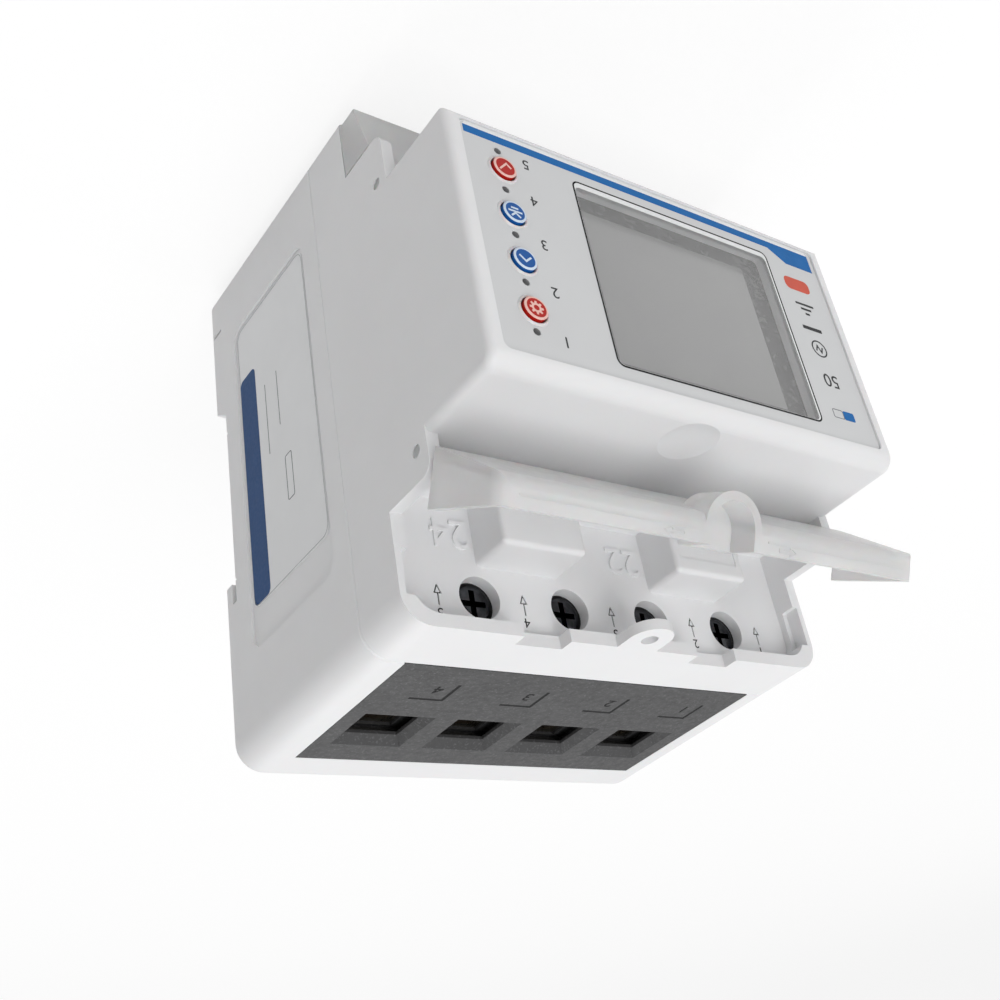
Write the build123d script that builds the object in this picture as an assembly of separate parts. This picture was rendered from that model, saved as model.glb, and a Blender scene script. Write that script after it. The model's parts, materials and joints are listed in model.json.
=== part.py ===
from build123d import *
import os

# Smart energy meter for a 35 mm rail, four modules wide. Millimetres.
# X runs across, the front faces -Y, Z is up as the label reads, and the
# origin is the centre of the seat that lies on the rail.

# Whole case
body_width = 76.0
body_height = 89.0
seam_depth = 35.9        # rail seat to the joint of base and front case
foot_rise = 4.7          # how far the two feet stand behind the rail seat
nose_depth = 73.8        # rail seat to the front rim
nose_height = 44.8
shell_wall = 2.0
cut_overrun = 1.0        # every cutting tool runs past the face by this
seat_gap = 0.1           # between pieces that are fixed to each other
run_gap = 0.3            # between pieces that move past each other
bearing_gap = 0.05       # radial play of a pin or a shaft in its hole
same_place = 0.01        # two places closer than this count as one

# Rounded corners
corner_round_top = 4.5
corner_round_bottom = 1.0
rear_round = 1.8
front_round_top = 2.6
front_round = 1.3
seam_bevel = 0.25

# Rail notch
rail_height = 35.0
rail_play = 0.3
hook_slot = 1.4          # depth of the slot that takes the rail's edge
hook_reach = 3.3         # how far the fixed hook laps over the rail
notch_slant = 3.0
seat_groove_z = 14.0     # relief groove beside the free part of the rail seat
seat_groove_width = 0.4
seat_groove_depth = 0.3
foot_slit_width = 0.6
foot_slit_depth = 1.2
foot_slit_margin = 8.0

# Base floor, screw posts and board standoffs
base_floor = 2.0
post_radius = 3.2
post_side_margin = 5.0
post_end_margin = 19.5
case_screw_radius = 1.5
case_screw_head_radius = 2.8
case_screw_head = 2.2
case_screw_sink = 0.6
case_screw_bite = 4.4
cross_reach_share = 0.7  # of the head's radius, on the case screws
standoff_radius = 2.5
standoff_margin = 10.5

# Rail clip
clip_half_width = 6.8
clip_flange_width = 2.0
clip_flange = 1.5
clip_thickness = 3.0
clip_hook = 3.0          # how far the clip laps over the rail at rest
clip_tail = 3.2          # how far the clip stands out below the case
clip_travel = 3.5
clip_slot_width = 5.0
clip_slot_height = 1.4
clip_lead = 1.2
clip_tongue_half_width = 1.9
clip_tongue_height = 2.4
clip_tongue_thickness = 1.5
spring_radius = 1.35
spring_wire = 0.4
spring_length = 11.0
spring_turns = 8

# Front case
rim_depth = 46.7         # rail seat to the rim round the terminal recess
deck_drop = 3.7            # rim to the floor of the terminal recess
ear_rise = 10.8            # rim to the front of the hinge ears
ear_round = 2.0
side_wall = 1.9
end_wall = 2.0
recess_round = 4.0
recess_round_bottom = 1.0
wall_pocket_low_margin = 11.0
wall_pocket_high_margin = 4.2
wall_pocket_reach = 1.2
wall_pocket_sink = 0.9
rim_notch_x = 15.6
rim_notch_width = 7.8
rim_notch_drop = 2.5
lug_radius = 3.6
lug_thickness = 1.6
lug_reach = 2.9          # rim to the centre of the seal hole
seal_hole_radius = 1.3
boss_x = 15.7
boss_width = 14.2
boss_rise = 7.4
boss_clearance = 1.5
boss_wall = 1.6
boss_round = 0.8
mark_plate_width = 11.2
mark_plate_height = 5.2
mark_plate_sink = 0.2
dimple_x = 1.0
dimple_radius = 4.6
dimple_sink = 0.9
dimple_back = 6.0        # front rim to the centre of the finger dimple
ear_margin_top = 6.0
ear_margin_bottom = 9.8
arrow_near_shift = 0.4
arrow_far_shift = 1.0
arrow_lead = 1.2           # arrow tip to the clamping screws
arrow_length = 3.0
arrow_head = 1.2
arrow_half_width = 0.5
arrow_line = 0.22
arrow_sink = 0.2

# Terminals
pole_count = 4
pole_margin = 0.8
block_side_margin = 6.4
block_rear = 3.0         # rail seat to the near side of the terminal face
block_inner = 12.6       # how far the block reaches into the case
block_flange = 2.3
funnel_width = 11.5
funnel_height = 11.0
entry_width = 9.1
entry_height = 7.6
entry_y = 14.1           # rail seat to the centre of the wire entries
funnel_depth = 1.2
entry_lip = 0.5          # straight wall behind the funnel
entry_relief = 2.2       # how much wider the room behind that wall is
access_radius = 3.3
clamp_drop = 7.2           # end of the case to the clamping screws
mark_line = 0.55
mark_sink = 0.4
mark_width = 5.7
mark_height = 5.2
mark_y = 25.6
mark_shift = -0.6

# Clamps and busbars
cage_half_width = 4.3
cage_wall = 1.2
cage_front_wall = 1.6
cage_length = 7.0
cage_room = 10.1         # clear height inside the open cage
clamp_turns = 9          # turns of the screw from open to closed
screw_pitch = 0.7
screw_shaft_radius = 2.0
screw_head_radius = 2.9
screw_head = 3.4
screw_head_round = 0.4
cross_width = 0.9
cross_sink = 1.6
cross_length = 4.2
ledge = 8.9              # boss between the clamp chamber and the screw head
bar_width = 5.6
bar_thickness = 1.5

# Terminal covers
hinge_inset = 2.7          # front of the ears to the hinge line
hinge_margin = 1.45
barrel_radius = 1.2
pin_radius = 0.9
pin_sink = 0.2           # end of the hinge pin to the outside of the ear
cover_wall = 1.3
cover_rise = 0.4           # hinge line to the flat front of the cover
cover_corner_rise = 4.3
cover_corner_round = 2.0
cover_open_angle = 62.0
cowl_length = 6.0

# Display panel and window
panel_side_margin = 2.4
panel_end_margin = 2.0
panel_drop = 0.75
panel_thickness = 1.0
panel_sink = 0.4
panel_round = 1.2
window_x = -3.5
window_width = 39.9
window_height = 33.9
window_round = 1.0
window_thickness = 0.8
front_wall = 1.8         # case wall behind the panel
glass_margin = 1.6
glass_thickness = 2.0
backlight_margin = 0.8
backlight_thickness = 3.5
display_board_thickness = 1.6
display_board_margin = 1.2
display_post_side_margin = 5.0
display_post_end_margin = 5.0
display_post_radius = 2.4
board_screw_radius = 1.1
board_screw_head_radius = 1.9
board_screw_head = 1.5
board_screw_bite = 3.4
board_slot_width = 0.45

# Buttons and indicator lights
button_names = ("confirm", "scroll", "step", "menu")
button_margin = 6.2
button_z = -0.9
button_pitch = 8.45
button_radius = 1.9
button_proud = 0.7
button_dome = 0.25
button_flange = 0.7
button_flange_width = 0.6
button_stem_radius = 1.1
button_stem = 0.3
button_travel = 0.4
switch_width = 3.6
switch_height = 2.6
plunger_radius = 0.9
light_count = 5
light_margin = 6.0
light_z = -1.4
light_pitch = 8.35
light_radius = 0.5
light_first_shift = 0.9
light_pipe_rim = 0.25
light_pipe_rim_height = 0.8
led_width = 1.6
led_height = 0.8
led_thickness = 0.7

# Main board and what it carries
board_depth = 28.4       # rail seat to the rear face of the main board
board_thickness = 1.6
board_side_margin = 7.5
board_end_margin = 1.4
sensor_count = 3
sensor_spacing = 0.6
sensor_length = 9.0
sensor_rear = 11.0
sensor_play = 0.4
sensor_round = 0.8
transformer_x = 13.5
transformer_z = 8.5
transformer_width = 22.0
transformer_height = 18.0
transformer_rise = 14.0
winding_height = 12.0
winding_rise = 17.0
winding_width = 12.0
winding_round = 2.0
capacitor_count = 2
capacitor_radius = 4.0
capacitor_round = 0.5
capacitor_rise = 13.0
capacitor_x = 20.0
capacitor_z = -9.6
capacitor_pitch = 9.5
varistor_count = 3
varistor_radius = 3.2
varistor_thickness = 3.2
varistor_lead = 1.5
varistor_foot = 1.6
varistor_x = -20.0
varistor_z = 14.0
varistor_pitch = 7.0
chip_count = 2
chip_width = 9.0
chip_thickness = 1.4
chip_x = -16.0
chip_z = -13.0
chip_pitch = 13.0
battery_radius = 6.3
battery_thickness = 2.2
battery_holder_wall = 1.0
battery_holder_width = 7.6
battery_x = -12.0
battery_z = 2.0
radio_width = 16.0
radio_height = 24.0
radio_thickness = 1.0
radio_x = 4.0
radio_z = 0.0
shield_height = 15.0
shield_thickness = 2.4
shield_margin = 1.0
antenna_width = 12.0
antenna_height = 4.0
antenna_thickness = 0.4
ribbon_width = 12.0
ribbon_thickness = 0.8
ribbon_x = -11.5
ribbon_z = -7.7

# Side label
label_recess_rear = 4.7
label_front_margin = 4.7
label_low_margin = 12.5
label_high_margin = 15.5
label_recess_sink = 0.4
label_recess_round = 3.0
label_thickness = 0.15
label_margin = 0.9
label_top_margin = 6.8
label_round = 1.6


def both(half):
    """The span from minus half to plus half."""
    return (-half, half)


def about(centre, size):
    """The span of a size on both sides of its centre."""
    return (centre - size / 2, centre + size / 2)


def spread(count, pitch):
    """Evenly spaced places on both sides of zero."""
    return [(index - (count - 1) / 2) * pitch for index in range(count)]


def near(value, place):
    """Whether a coordinate is at a place."""
    return abs(value - place) < same_place


# Worked out from the sizes above
half_width = body_width / 2
half_height = body_height / 2
nose_half = nose_height / 2
notch_half = rail_height / 2 + rail_play
block_half_width = half_width - block_side_margin
pole_pitch = 2 * (block_half_width - pole_margin) / pole_count
post_x = half_width - post_side_margin
post_z = half_height - post_end_margin
clamp_z = half_height - clamp_drop
board_half_width = half_width - shell_wall - board_side_margin
board_half_height = half_height - block_inner - board_end_margin
standoff_z = board_half_height - standoff_margin
panel_half_width = half_width - panel_side_margin
panel_height = nose_height - 2 * panel_end_margin
display_post_x = half_width - display_post_side_margin
display_post_z = nose_half - display_post_end_margin
button_x = panel_half_width - button_margin
light_x = panel_half_width - light_margin
sensor_width = pole_pitch - sensor_spacing
arrow_near_x = pole_pitch + arrow_near_shift
arrow_far_x = 2 * pole_pitch - arrow_far_shift
arrow_tip = clamp_z - arrow_lead
deck_depth = rim_depth - deck_drop
ear_depth = rim_depth + ear_rise
hinge_depth = ear_depth - hinge_inset
hinge_z = nose_half + hinge_margin
cover_depth = hinge_depth + cover_rise
cover_corner_depth = rim_depth + cover_corner_rise
ear_end_top = nose_half + ear_margin_top
ear_end_bottom = nose_half + ear_margin_bottom
cover_slant_z = ear_end_top + run_gap
cover_slope = (cover_depth - cover_corner_depth) / (half_height - cover_slant_z)
boss_height = clamp_z - access_radius - boss_clearance - nose_half
wall_pocket_low = half_height - wall_pocket_low_margin
wall_pocket_high = half_height - wall_pocket_high_margin
wall_pocket_depth = deck_depth + wall_pocket_reach
label_recess_low = -half_height + label_low_margin
label_recess_high = half_height - label_high_margin
label_recess_front = seam_depth - label_front_margin
foot_slit_drop = half_height - foot_slit_margin
pole_x = spread(pole_count, pole_pitch)
post_places = [(sx * post_x, sz * post_z) for sx in (-1, 1) for sz in (-1, 1)]
standoff_x = pole_pitch
standoff_places = [(sx * standoff_x, sz * standoff_z) for sx in (-1, 1) for sz in (-1, 1)]
pocket_floor = nose_depth - panel_sink - panel_thickness
wall_back = pocket_floor - front_wall
board_front = wall_back - seat_gap - glass_thickness - backlight_thickness
board_back = board_front - display_board_thickness
panel_top = panel_height / 2 - panel_drop
panel_bottom = -panel_height / 2 - panel_drop
display_post_places = [(sx * display_post_x, sz * display_post_z) for sx in (-1, 1) for sz in (-1, 1)]
button_places = [button_z + z for z in spread(len(button_names), button_pitch)]
light_places = [light_z + z for z in spread(light_count, light_pitch)]
light_places[0] += light_first_shift
clamp_travel = clamp_turns * screw_pitch
entry_low = entry_y - entry_height / 2
entry_high = entry_y + entry_height / 2
cage_rear = entry_low - cage_wall
cage_bar_side = cage_rear + cage_wall + cage_room
cage_front = cage_bar_side + cage_front_wall
bar_rear = cage_bar_side - run_gap - bar_thickness
chamber_front = cage_front + clamp_travel + run_gap
chamber_rear = cage_rear - run_gap
ledge_front = chamber_front + ledge
block_front = deck_depth - shell_wall - seat_gap
chamber_half = cage_length / 2 + run_gap
bar_half_length = clamp_z + chamber_half - run_gap
board_face = board_depth + board_thickness
clip_front = hook_slot
clip_rear = hook_slot + clip_thickness
clip_top = -rail_height / 2 + clip_hook
clip_bottom = -half_height - clip_tail
tongue_top = -foot_slit_drop + spring_length + clip_tongue_thickness
plunger_front = wall_back - run_gap - button_flange - button_stem - button_travel - seat_gap
radio_face = -board_back + radio_thickness
seal_depth = rim_depth + lug_reach
cowl_bore_radius = lug_radius + run_gap
cowl_radius = cowl_bore_radius + cover_wall


def block(x_span, y_span, z_span):
    """A box between two corners, given as a span along each axis."""
    spans = (x_span, y_span, z_span)
    size = [abs(span[1] - span[0]) for span in spans]
    centre = [(span[0] + span[1]) / 2 for span in spans]
    return Pos(*centre) * Box(*size)


def rod_x(x_span, y, z, radius):
    """A round bar along X."""
    length = abs(x_span[1] - x_span[0])
    return Pos((x_span[0] + x_span[1]) / 2, y, z) * Rot(0, 90, 0) * Cylinder(radius, length)


def rod_y(x, y_span, z, radius):
    """A round bar along Y."""
    length = abs(y_span[1] - y_span[0])
    return Pos(x, (y_span[0] + y_span[1]) / 2, z) * Rot(90, 0, 0) * Cylinder(radius, length)


def rod_z(x, y, z_span, radius):
    """A round bar along Z."""
    length = abs(z_span[1] - z_span[0])
    return Pos(x, y, (z_span[0] + z_span[1]) / 2) * Cylinder(radius, length)


def side_profile(points, x_half):
    """A closed outline of (y, z) points, drawn out along X to both sides."""
    outline = make_face(Polyline(*points, close=True))
    return extrude(Plane.YZ * outline, amount=x_half, both=True)


def rounded_along(solid, axis, radius, choose=lambda edge: True):
    """Round the edges that lie along an axis and pass the test."""
    edges = [edge for edge in solid.edges().filter_by(axis) if choose(edge.center())]
    return fillet(edges, radius)


def case_corners(solid, top_radius, bottom_radius):
    """Round the corners at the top end and at the bottom end of a case shell."""
    solid = rounded_along(solid, Axis.Y, top_radius, lambda point: point.Z > 0)
    return rounded_along(solid, Axis.Y, bottom_radius, lambda point: point.Z < 0)


def at_end(solid, sign):
    """A piece of the top end, or its mirror image at the bottom end."""
    return solid if sign > 0 else mirror(solid, about=Plane.XY)


def save(solids, name):
    """Write one node, which is one solid or a group of like solids."""
    if isinstance(solids, list):
        node = Compound(children=solids)
    else:
        node = solids
    node.label = name
    export_step(node, os.path.join("parts", name + ".step"))


def rail_notch():
    """The space that the rail takes: slanted below, hooked above."""
    hook_z = rail_height / 2 - hook_reach
    rear = foot_rise + cut_overrun
    slant = notch_slant * rear / foot_rise
    points = [
        (rear, -notch_half - slant),
        (0, -notch_half),
        (0, notch_half),
        (hook_slot, notch_half),
        (hook_slot, hook_z),
        (rear, hook_z),
    ]
    notch = side_profile(points, half_width + cut_overrun)
    for sign in (-1, 1):
        notch += block(both(half_width + cut_overrun), (-seat_groove_depth, hook_slot),
                       about(sign * seat_groove_z, seat_groove_width))
    return notch


def clip_channel():
    """The T-shaped channel in the lower foot, open at both ends."""
    span = (-half_height - cut_overrun, -notch_half + cut_overrun)
    flange_half = clip_half_width + clip_flange_width + run_gap
    flange_rear = clip_front + clip_flange + run_gap
    wide = block(both(flange_half), (clip_front - run_gap, flange_rear), span)
    narrow = block(both(clip_half_width + run_gap), (flange_rear, foot_rise + cut_overrun), span)
    tongue_half = clip_tongue_half_width + run_gap
    pocket_floor_y = clip_front - clip_tongue_height - run_gap
    pocket = block(both(tongue_half), (pocket_floor_y, clip_front), (-foot_slit_drop, tongue_top + run_gap))
    return wide + narrow + pocket


def make_rear_base():
    """The tub that sits on the rail, with feet, hook, channel and screw posts."""
    outer = block(both(half_width), (-seam_depth, foot_rise), both(half_height))
    outer = case_corners(outer, corner_round_top, corner_round_bottom)
    rear_edges = outer.faces().sort_by(Axis.Y)[-1].edges()
    outer = fillet(rear_edges, rear_round)
    seam_edges = outer.faces().sort_by(Axis.Y)[0].edges()
    outer = chamfer(seam_edges, seam_bevel)
    inner_half = half_width - shell_wall
    cavity = block(both(inner_half), (-seam_depth - cut_overrun, -base_floor), both(half_height - end_wall))
    cavity = case_corners(cavity, corner_round_top - shell_wall, corner_round_bottom)
    base = outer - cavity - rail_notch() - clip_channel()
    window_half = block_half_width + seat_gap
    for sign in (-1, 1):
        z_span = (sign * (half_height - end_wall - cut_overrun), sign * (half_height + cut_overrun))
        base -= block(both(window_half), (-seam_depth - cut_overrun, -block_rear + seat_gap), z_span)
        slit_x = (sign * (half_width - foot_slit_depth), sign * (half_width + cut_overrun))
        slit_z = about(-foot_slit_drop, foot_slit_width)
        base -= block(slit_x, (0, foot_rise + cut_overrun), slit_z)
    for x, z in post_places:
        base += rod_y(x, (-seam_depth, -base_floor / 2), z, post_radius)
        base -= rod_y(x, (-seam_depth - cut_overrun, foot_rise), z, case_screw_radius + seat_gap)
        sink_floor = foot_rise - case_screw_sink - case_screw_head
        base -= rod_y(x, (sink_floor, foot_rise + cut_overrun), z, case_screw_head_radius + seat_gap)
    for x, z in standoff_places:
        standoff = rod_y(x, (-board_depth, -base_floor / 2), z, standoff_radius)
        base += standoff - rod_y(x, (-board_depth - cut_overrun, -board_depth + board_screw_bite), z,
                                 board_screw_radius + seat_gap)
    base -= label_recess()
    return base


def label_recess():
    """The shallow moulded field for the label on the +X side."""
    recess = block(
        (half_width - label_recess_sink, half_width + cut_overrun),
        (-label_recess_front, -label_recess_rear),
        (label_recess_low, label_recess_high),
    )
    return rounded_along(recess, Axis.X, label_recess_round)


def make_side_label():
    """The blank label that lies in its field."""
    label_x = half_width - label_recess_sink
    label = block(
        (label_x, label_x + label_thickness),
        (-label_recess_front + label_margin, -label_recess_rear - label_margin),
        (label_recess_low + label_margin, label_recess_high - label_top_margin),
    )
    return rounded_along(label, Axis.X, label_round)


def nose_solid():
    """The raised middle of the front case, rounded round its front."""
    nose = block(both(half_width), (-nose_depth, -seam_depth), both(nose_half))
    front_edges = nose.faces().sort_by(Axis.Y)[0].edges()
    top_edge = [edge for edge in front_edges if near(edge.center().Z, nose_half)]
    nose = fillet(top_edge, front_round_top)
    rest = [
        edge
        for edge in nose.edges()
        if edge.center().Y < -nose_depth + front_round_top
        and (near(abs(edge.center().X), half_width) or near(edge.center().Z, -nose_half))
    ]
    return fillet(rest, front_round)


def ear_pair(sign, ear_end):
    """The solid from which one end's hinge ears are cut."""
    ears = block(both(half_width), (-ear_depth, -deck_depth), (nose_half - shell_wall, ear_end))
    outer_edge = [
        edge
        for edge in ears.edges().filter_by(Axis.X)
        if near(edge.center().Y, -ear_depth) and near(edge.center().Z, ear_end)
    ]
    return at_end(fillet(outer_edge, ear_round), sign)


def recess_cut(sign, corner_radius):
    """The terminal recess in front of the deck, between the side walls."""
    recess = block(
        both(half_width - side_wall),
        (-nose_depth - cut_overrun, -deck_depth),
        (nose_half, half_height - end_wall),
    )
    end = half_height - end_wall
    recess = rounded_along(recess, Axis.Y, corner_radius, lambda point: near(point.Z, end))
    return at_end(recess, sign)


def deck_boss(x):
    """One of the two raised boxes on the deck, next to the nose."""
    low = nose_half - shell_wall
    high = nose_half + boss_height
    front = -deck_depth - boss_rise
    boss = block(about(x, boss_width), (front, -deck_depth), (low, high))
    soft = [
        edge
        for edge in boss.edges()
        if (near(edge.center().Y, front) and not near(edge.center().Z, low))
        or (near(edge.center().Z, high) and not near(edge.center().Y, -deck_depth))
    ]
    return fillet(soft, boss_round)


def boss_hollow(x):
    """The hollow inside a deck boss, open to the inside of the case."""
    return block(
        (x - boss_width / 2 + boss_wall, x + boss_width / 2 - boss_wall),
        (-deck_depth - boss_rise + boss_wall, -deck_depth + shell_wall),
        (nose_half - shell_wall, nose_half + boss_height - boss_wall),
    )


def seal_lug():
    """The ear on the end rim that a lead seal's wire passes through."""
    z_span = (half_height - lug_thickness, half_height)
    lug = rod_z(0, -seal_depth, z_span, lug_radius)
    return lug + block(both(lug_radius), (-seal_depth, -rim_depth + rim_notch_drop), z_span)


def groove(points):
    """A fine engraved line on the deck along straight runs between (x, z) points."""
    y_middle = -deck_depth + (arrow_sink - cut_overrun) / 2
    bars = []
    for start, end in zip(points, points[1:]):
        run = Vector(end[0] - start[0], 0, end[1] - start[1])
        turn = run.get_signed_angle(Vector(1, 0, 0), Vector(0, 1, 0))
        middle = Pos((start[0] + end[0]) / 2, y_middle, (start[1] + end[1]) / 2)
        bar = Box(run.length + arrow_line, arrow_sink + cut_overrun, arrow_line)
        bars.append(middle * Rot(0, -turn, 0) * bar)
    return bars


def arrow_mark(x):
    """An engraved arrow that points from the terminals towards the nose."""
    neck = arrow_tip + arrow_head
    tip = (x, arrow_tip)
    head = groove([tip, (x - arrow_half_width, neck), (x + arrow_half_width, neck), tip])
    return head + groove([(x, neck), (x, arrow_tip + arrow_length)])


def wall_pocket(side):
    """The shallow pocket in one side wall of the top recess, open to the front."""
    inner = side * (half_width - side_wall)
    return block(
        (inner - side * cut_overrun, inner + side * wall_pocket_sink),
        (-ear_depth, -wall_pocket_depth),
        (wall_pocket_low, wall_pocket_high),
    )


def front_openings():
    """The window, button and light holes in the wall behind the panel."""
    y_span = (-nose_depth - cut_overrun, -wall_back + cut_overrun)
    window = block(
        about(window_x, window_width), y_span, both(window_height / 2)
    )
    cut = rounded_along(window, Axis.Y, window_round)
    for z in button_places:
        cut += rod_y(button_x, y_span, z, button_radius + run_gap)
    for z in light_places:
        cut += rod_y(light_x, y_span, z, light_radius + seat_gap)
    return cut


def make_front_case():
    """The front shell: nose, decks, ears, rims, lugs and bosses."""
    low = block(both(half_width), (-rim_depth, -seam_depth), both(half_height))
    low = case_corners(low, corner_round_top, corner_round_bottom)
    low = chamfer(low.faces().sort_by(Axis.Y)[-1].edges(), seam_bevel)
    case = low + nose_solid() + ear_pair(1, ear_end_top) + ear_pair(-1, ear_end_bottom)
    case -= recess_cut(1, recess_round)
    case -= recess_cut(-1, recess_round_bottom)
    inner_half = half_width - shell_wall
    nose_room = block(
        both(inner_half), (-wall_back, -seam_depth + cut_overrun), both(nose_half - shell_wall)
    )
    deck_room = block(
        both(inner_half), (-deck_depth + shell_wall, -seam_depth + cut_overrun), both(half_height - end_wall)
    )
    case -= nose_room
    case -= case_corners(deck_room, corner_round_top - shell_wall, corner_round_bottom)
    for sign in (-1, 1):
        for side in (-1, 1):
            case += at_end(deck_boss(side * boss_x), sign)
            case -= at_end(boss_hollow(side * boss_x), sign)
            notch = block(
                (side * rim_notch_x - rim_notch_width / 2, side * rim_notch_x + rim_notch_width / 2),
                (-rim_depth - cut_overrun, -rim_depth + rim_notch_drop),
                (half_height - end_wall - cut_overrun, half_height + cut_overrun),
            )
            case -= at_end(notch, sign)
            case -= at_end(wall_pocket(side), sign)
        plate = block(
            about(-boss_x, mark_plate_width),
            (-deck_depth - boss_rise - cut_overrun, -deck_depth - boss_rise + mark_plate_sink),
            about(nose_half + boss_height / 2, mark_plate_height),
        )
        case -= at_end(plate, sign)
        case += at_end(seal_lug(), sign)
        seal_span = (half_height - lug_thickness - cut_overrun, half_height + cut_overrun)
        case -= at_end(rod_z(0, -seal_depth, seal_span, seal_hole_radius), sign)
        hinge = rod_x(both(half_width + cut_overrun), -hinge_depth, hinge_z, pin_radius + bearing_gap)
        case -= at_end(hinge, sign)
        for x in pole_x:
            y_span = (-rim_depth, -deck_depth + shell_wall + cut_overrun)
            case -= at_end(rod_y(x, y_span, clamp_z, access_radius), sign)
        for x in (-arrow_far_x, -arrow_near_x, 0, arrow_near_x, arrow_far_x):
            case -= [at_end(bar, sign) for bar in arrow_mark(x)]
    pocket = block(
        both(panel_half_width + seat_gap),
        (-nose_depth - cut_overrun, -pocket_floor),
        (panel_bottom - seat_gap, panel_top + seat_gap),
    )
    case -= rounded_along(pocket, Axis.Y, panel_round)
    case -= front_openings()
    dimple_ball = (dimple_radius ** 2 + dimple_sink ** 2) / (2 * dimple_sink)
    dimple_y = -nose_depth + dimple_back
    case -= Pos(dimple_x, dimple_y, nose_half - dimple_sink + dimple_ball) * Sphere(dimple_ball)
    for x, z in display_post_places:
        post = rod_y(x, (-wall_back - front_wall / 2, -board_front), z, display_post_radius)
        hole = rod_y(x, (-board_front - board_screw_bite, -board_front + cut_overrun), z,
                     board_screw_radius + seat_gap)
        case += post
        case -= hole
    for x, z in post_places:
        post = rod_y(x, (-deck_depth + shell_wall / 2, -seam_depth), z, post_radius)
        hole = rod_y(x, (-seam_depth - case_screw_bite - seat_gap, -seam_depth + cut_overrun), z,
                     case_screw_radius + seat_gap)
        case += post
        case -= hole
    return case


def face_marks(x):
    """The engraved corner mark beside a wire entry."""
    z_span = (half_height - mark_sink, half_height + cut_overrun)
    right = x + mark_shift + mark_width / 2
    left = right - mark_width
    bar = block((left, right), about(-mark_y, mark_line), z_span)
    leg = block((left, left + mark_line), (-mark_y - mark_height, -mark_y), z_span)
    return bar + leg


def make_terminal_block():
    """The dark moulding at the top end, with wire entries and screw bores."""
    inner_z = half_height - block_inner
    outer_z = half_height - end_wall - seat_gap
    body = block(both(block_half_width), (-block_front, -block_rear), (inner_z, outer_z))
    flange = block(
        both(block_half_width), (-seam_depth, -block_rear), (half_height - block_flange, half_height)
    )
    solid = body + flange
    for x in pole_x:
        mouth = half_height - funnel_depth
        wide = Pos(x, -entry_y, half_height) * Rectangle(funnel_width, funnel_height)
        narrow = Pos(x, -entry_y, mouth) * Rectangle(entry_width, entry_height)
        solid -= loft([narrow, wide])
        entry_x = about(x, entry_width)
        solid -= block(entry_x, (-entry_high, -entry_low), (clamp_z, mouth))
        chamber_z = (clamp_z - chamber_half, clamp_z + chamber_half)
        solid -= block(entry_x, (-chamber_front, -chamber_rear), chamber_z)
        room_y = (-entry_high - entry_relief, -entry_low + entry_relief)
        room_z = (clamp_z + chamber_half, mouth - entry_lip)
        solid -= block(about(x, entry_width + 2 * entry_relief), room_y, room_z)
        bar_x = (x - bar_width / 2 - run_gap, x + bar_width / 2 + run_gap)
        bar_y = (-bar_rear - bar_thickness - seat_gap, -bar_rear + seat_gap)
        solid -= block(bar_x, bar_y, (inner_z - cut_overrun, clamp_z))
        solid -= rod_y(x, (-block_front - cut_overrun, -ledge_front), clamp_z, access_radius)
        solid -= rod_y(x, (-ledge_front - cut_overrun, -chamber_front + cut_overrun), clamp_z,
                       screw_shaft_radius + bearing_gap)
        solid -= face_marks(x)
    return solid


def make_clamp_screw(x):
    """One clamping screw, with its cross recess facing the front."""
    head_rear = ledge_front + run_gap
    head_front = head_rear + screw_head
    head = rod_y(x, (-head_front, -head_rear), clamp_z, screw_head_radius)
    head = fillet(head.edges().sort_by(Axis.Y)[0], screw_head_round)
    shaft = rod_y(x, (-head_rear, -bar_rear - bar_thickness - run_gap), clamp_z, screw_shaft_radius)
    y_span = (-head_front - cut_overrun, -head_front + cross_sink)
    across = block(about(x, cross_length), y_span,
                   about(clamp_z, cross_width))
    upright = block(about(x, cross_width), y_span,
                    about(clamp_z, cross_length))
    return head + shaft - across - upright


def make_clamp_cage(x):
    """One box clamp, drawn up by its screw round the busbar and the wire."""
    z_span = about(clamp_z, cage_length)
    cage = block((x - cage_half_width, x + cage_half_width), (-cage_front, -cage_rear), z_span)
    room_x = (x - cage_half_width + cage_wall, x + cage_half_width - cage_wall)
    room_z = (z_span[0] - cut_overrun, z_span[1] + cut_overrun)
    cage -= block(room_x, (-cage_bar_side, -cage_rear - cage_wall), room_z)
    return cage - rod_y(x, (-cage_front - cut_overrun, -cage_bar_side + cut_overrun), clamp_z,
                        screw_shaft_radius + bearing_gap)


def make_busbars():
    """The four copper bars that join the top clamps to the bottom clamps."""
    y_span = (-bar_rear - bar_thickness, -bar_rear)
    bars = []
    for x in pole_x:
        bars.append(block(about(x, bar_width), y_span, both(bar_half_length)))
    return bars


def cover_front(z):
    """How far forward the cover's outside lies: level between the ears, then slanting back."""
    return -cover_depth + cover_slope * max(0, z - cover_slant_z)


def cover_section(start, wall, overrun):
    """Side outline of the closed cover moved inwards by a wall, and past its open sides by an overrun."""
    foot = -rim_depth - run_gap + overrun
    low = start - overrun
    end = half_height - wall
    corner = -cover_corner_depth + wall
    return [(cover_front(low) + wall, low), (corner, end), (foot, end), (foot, low)]


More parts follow.
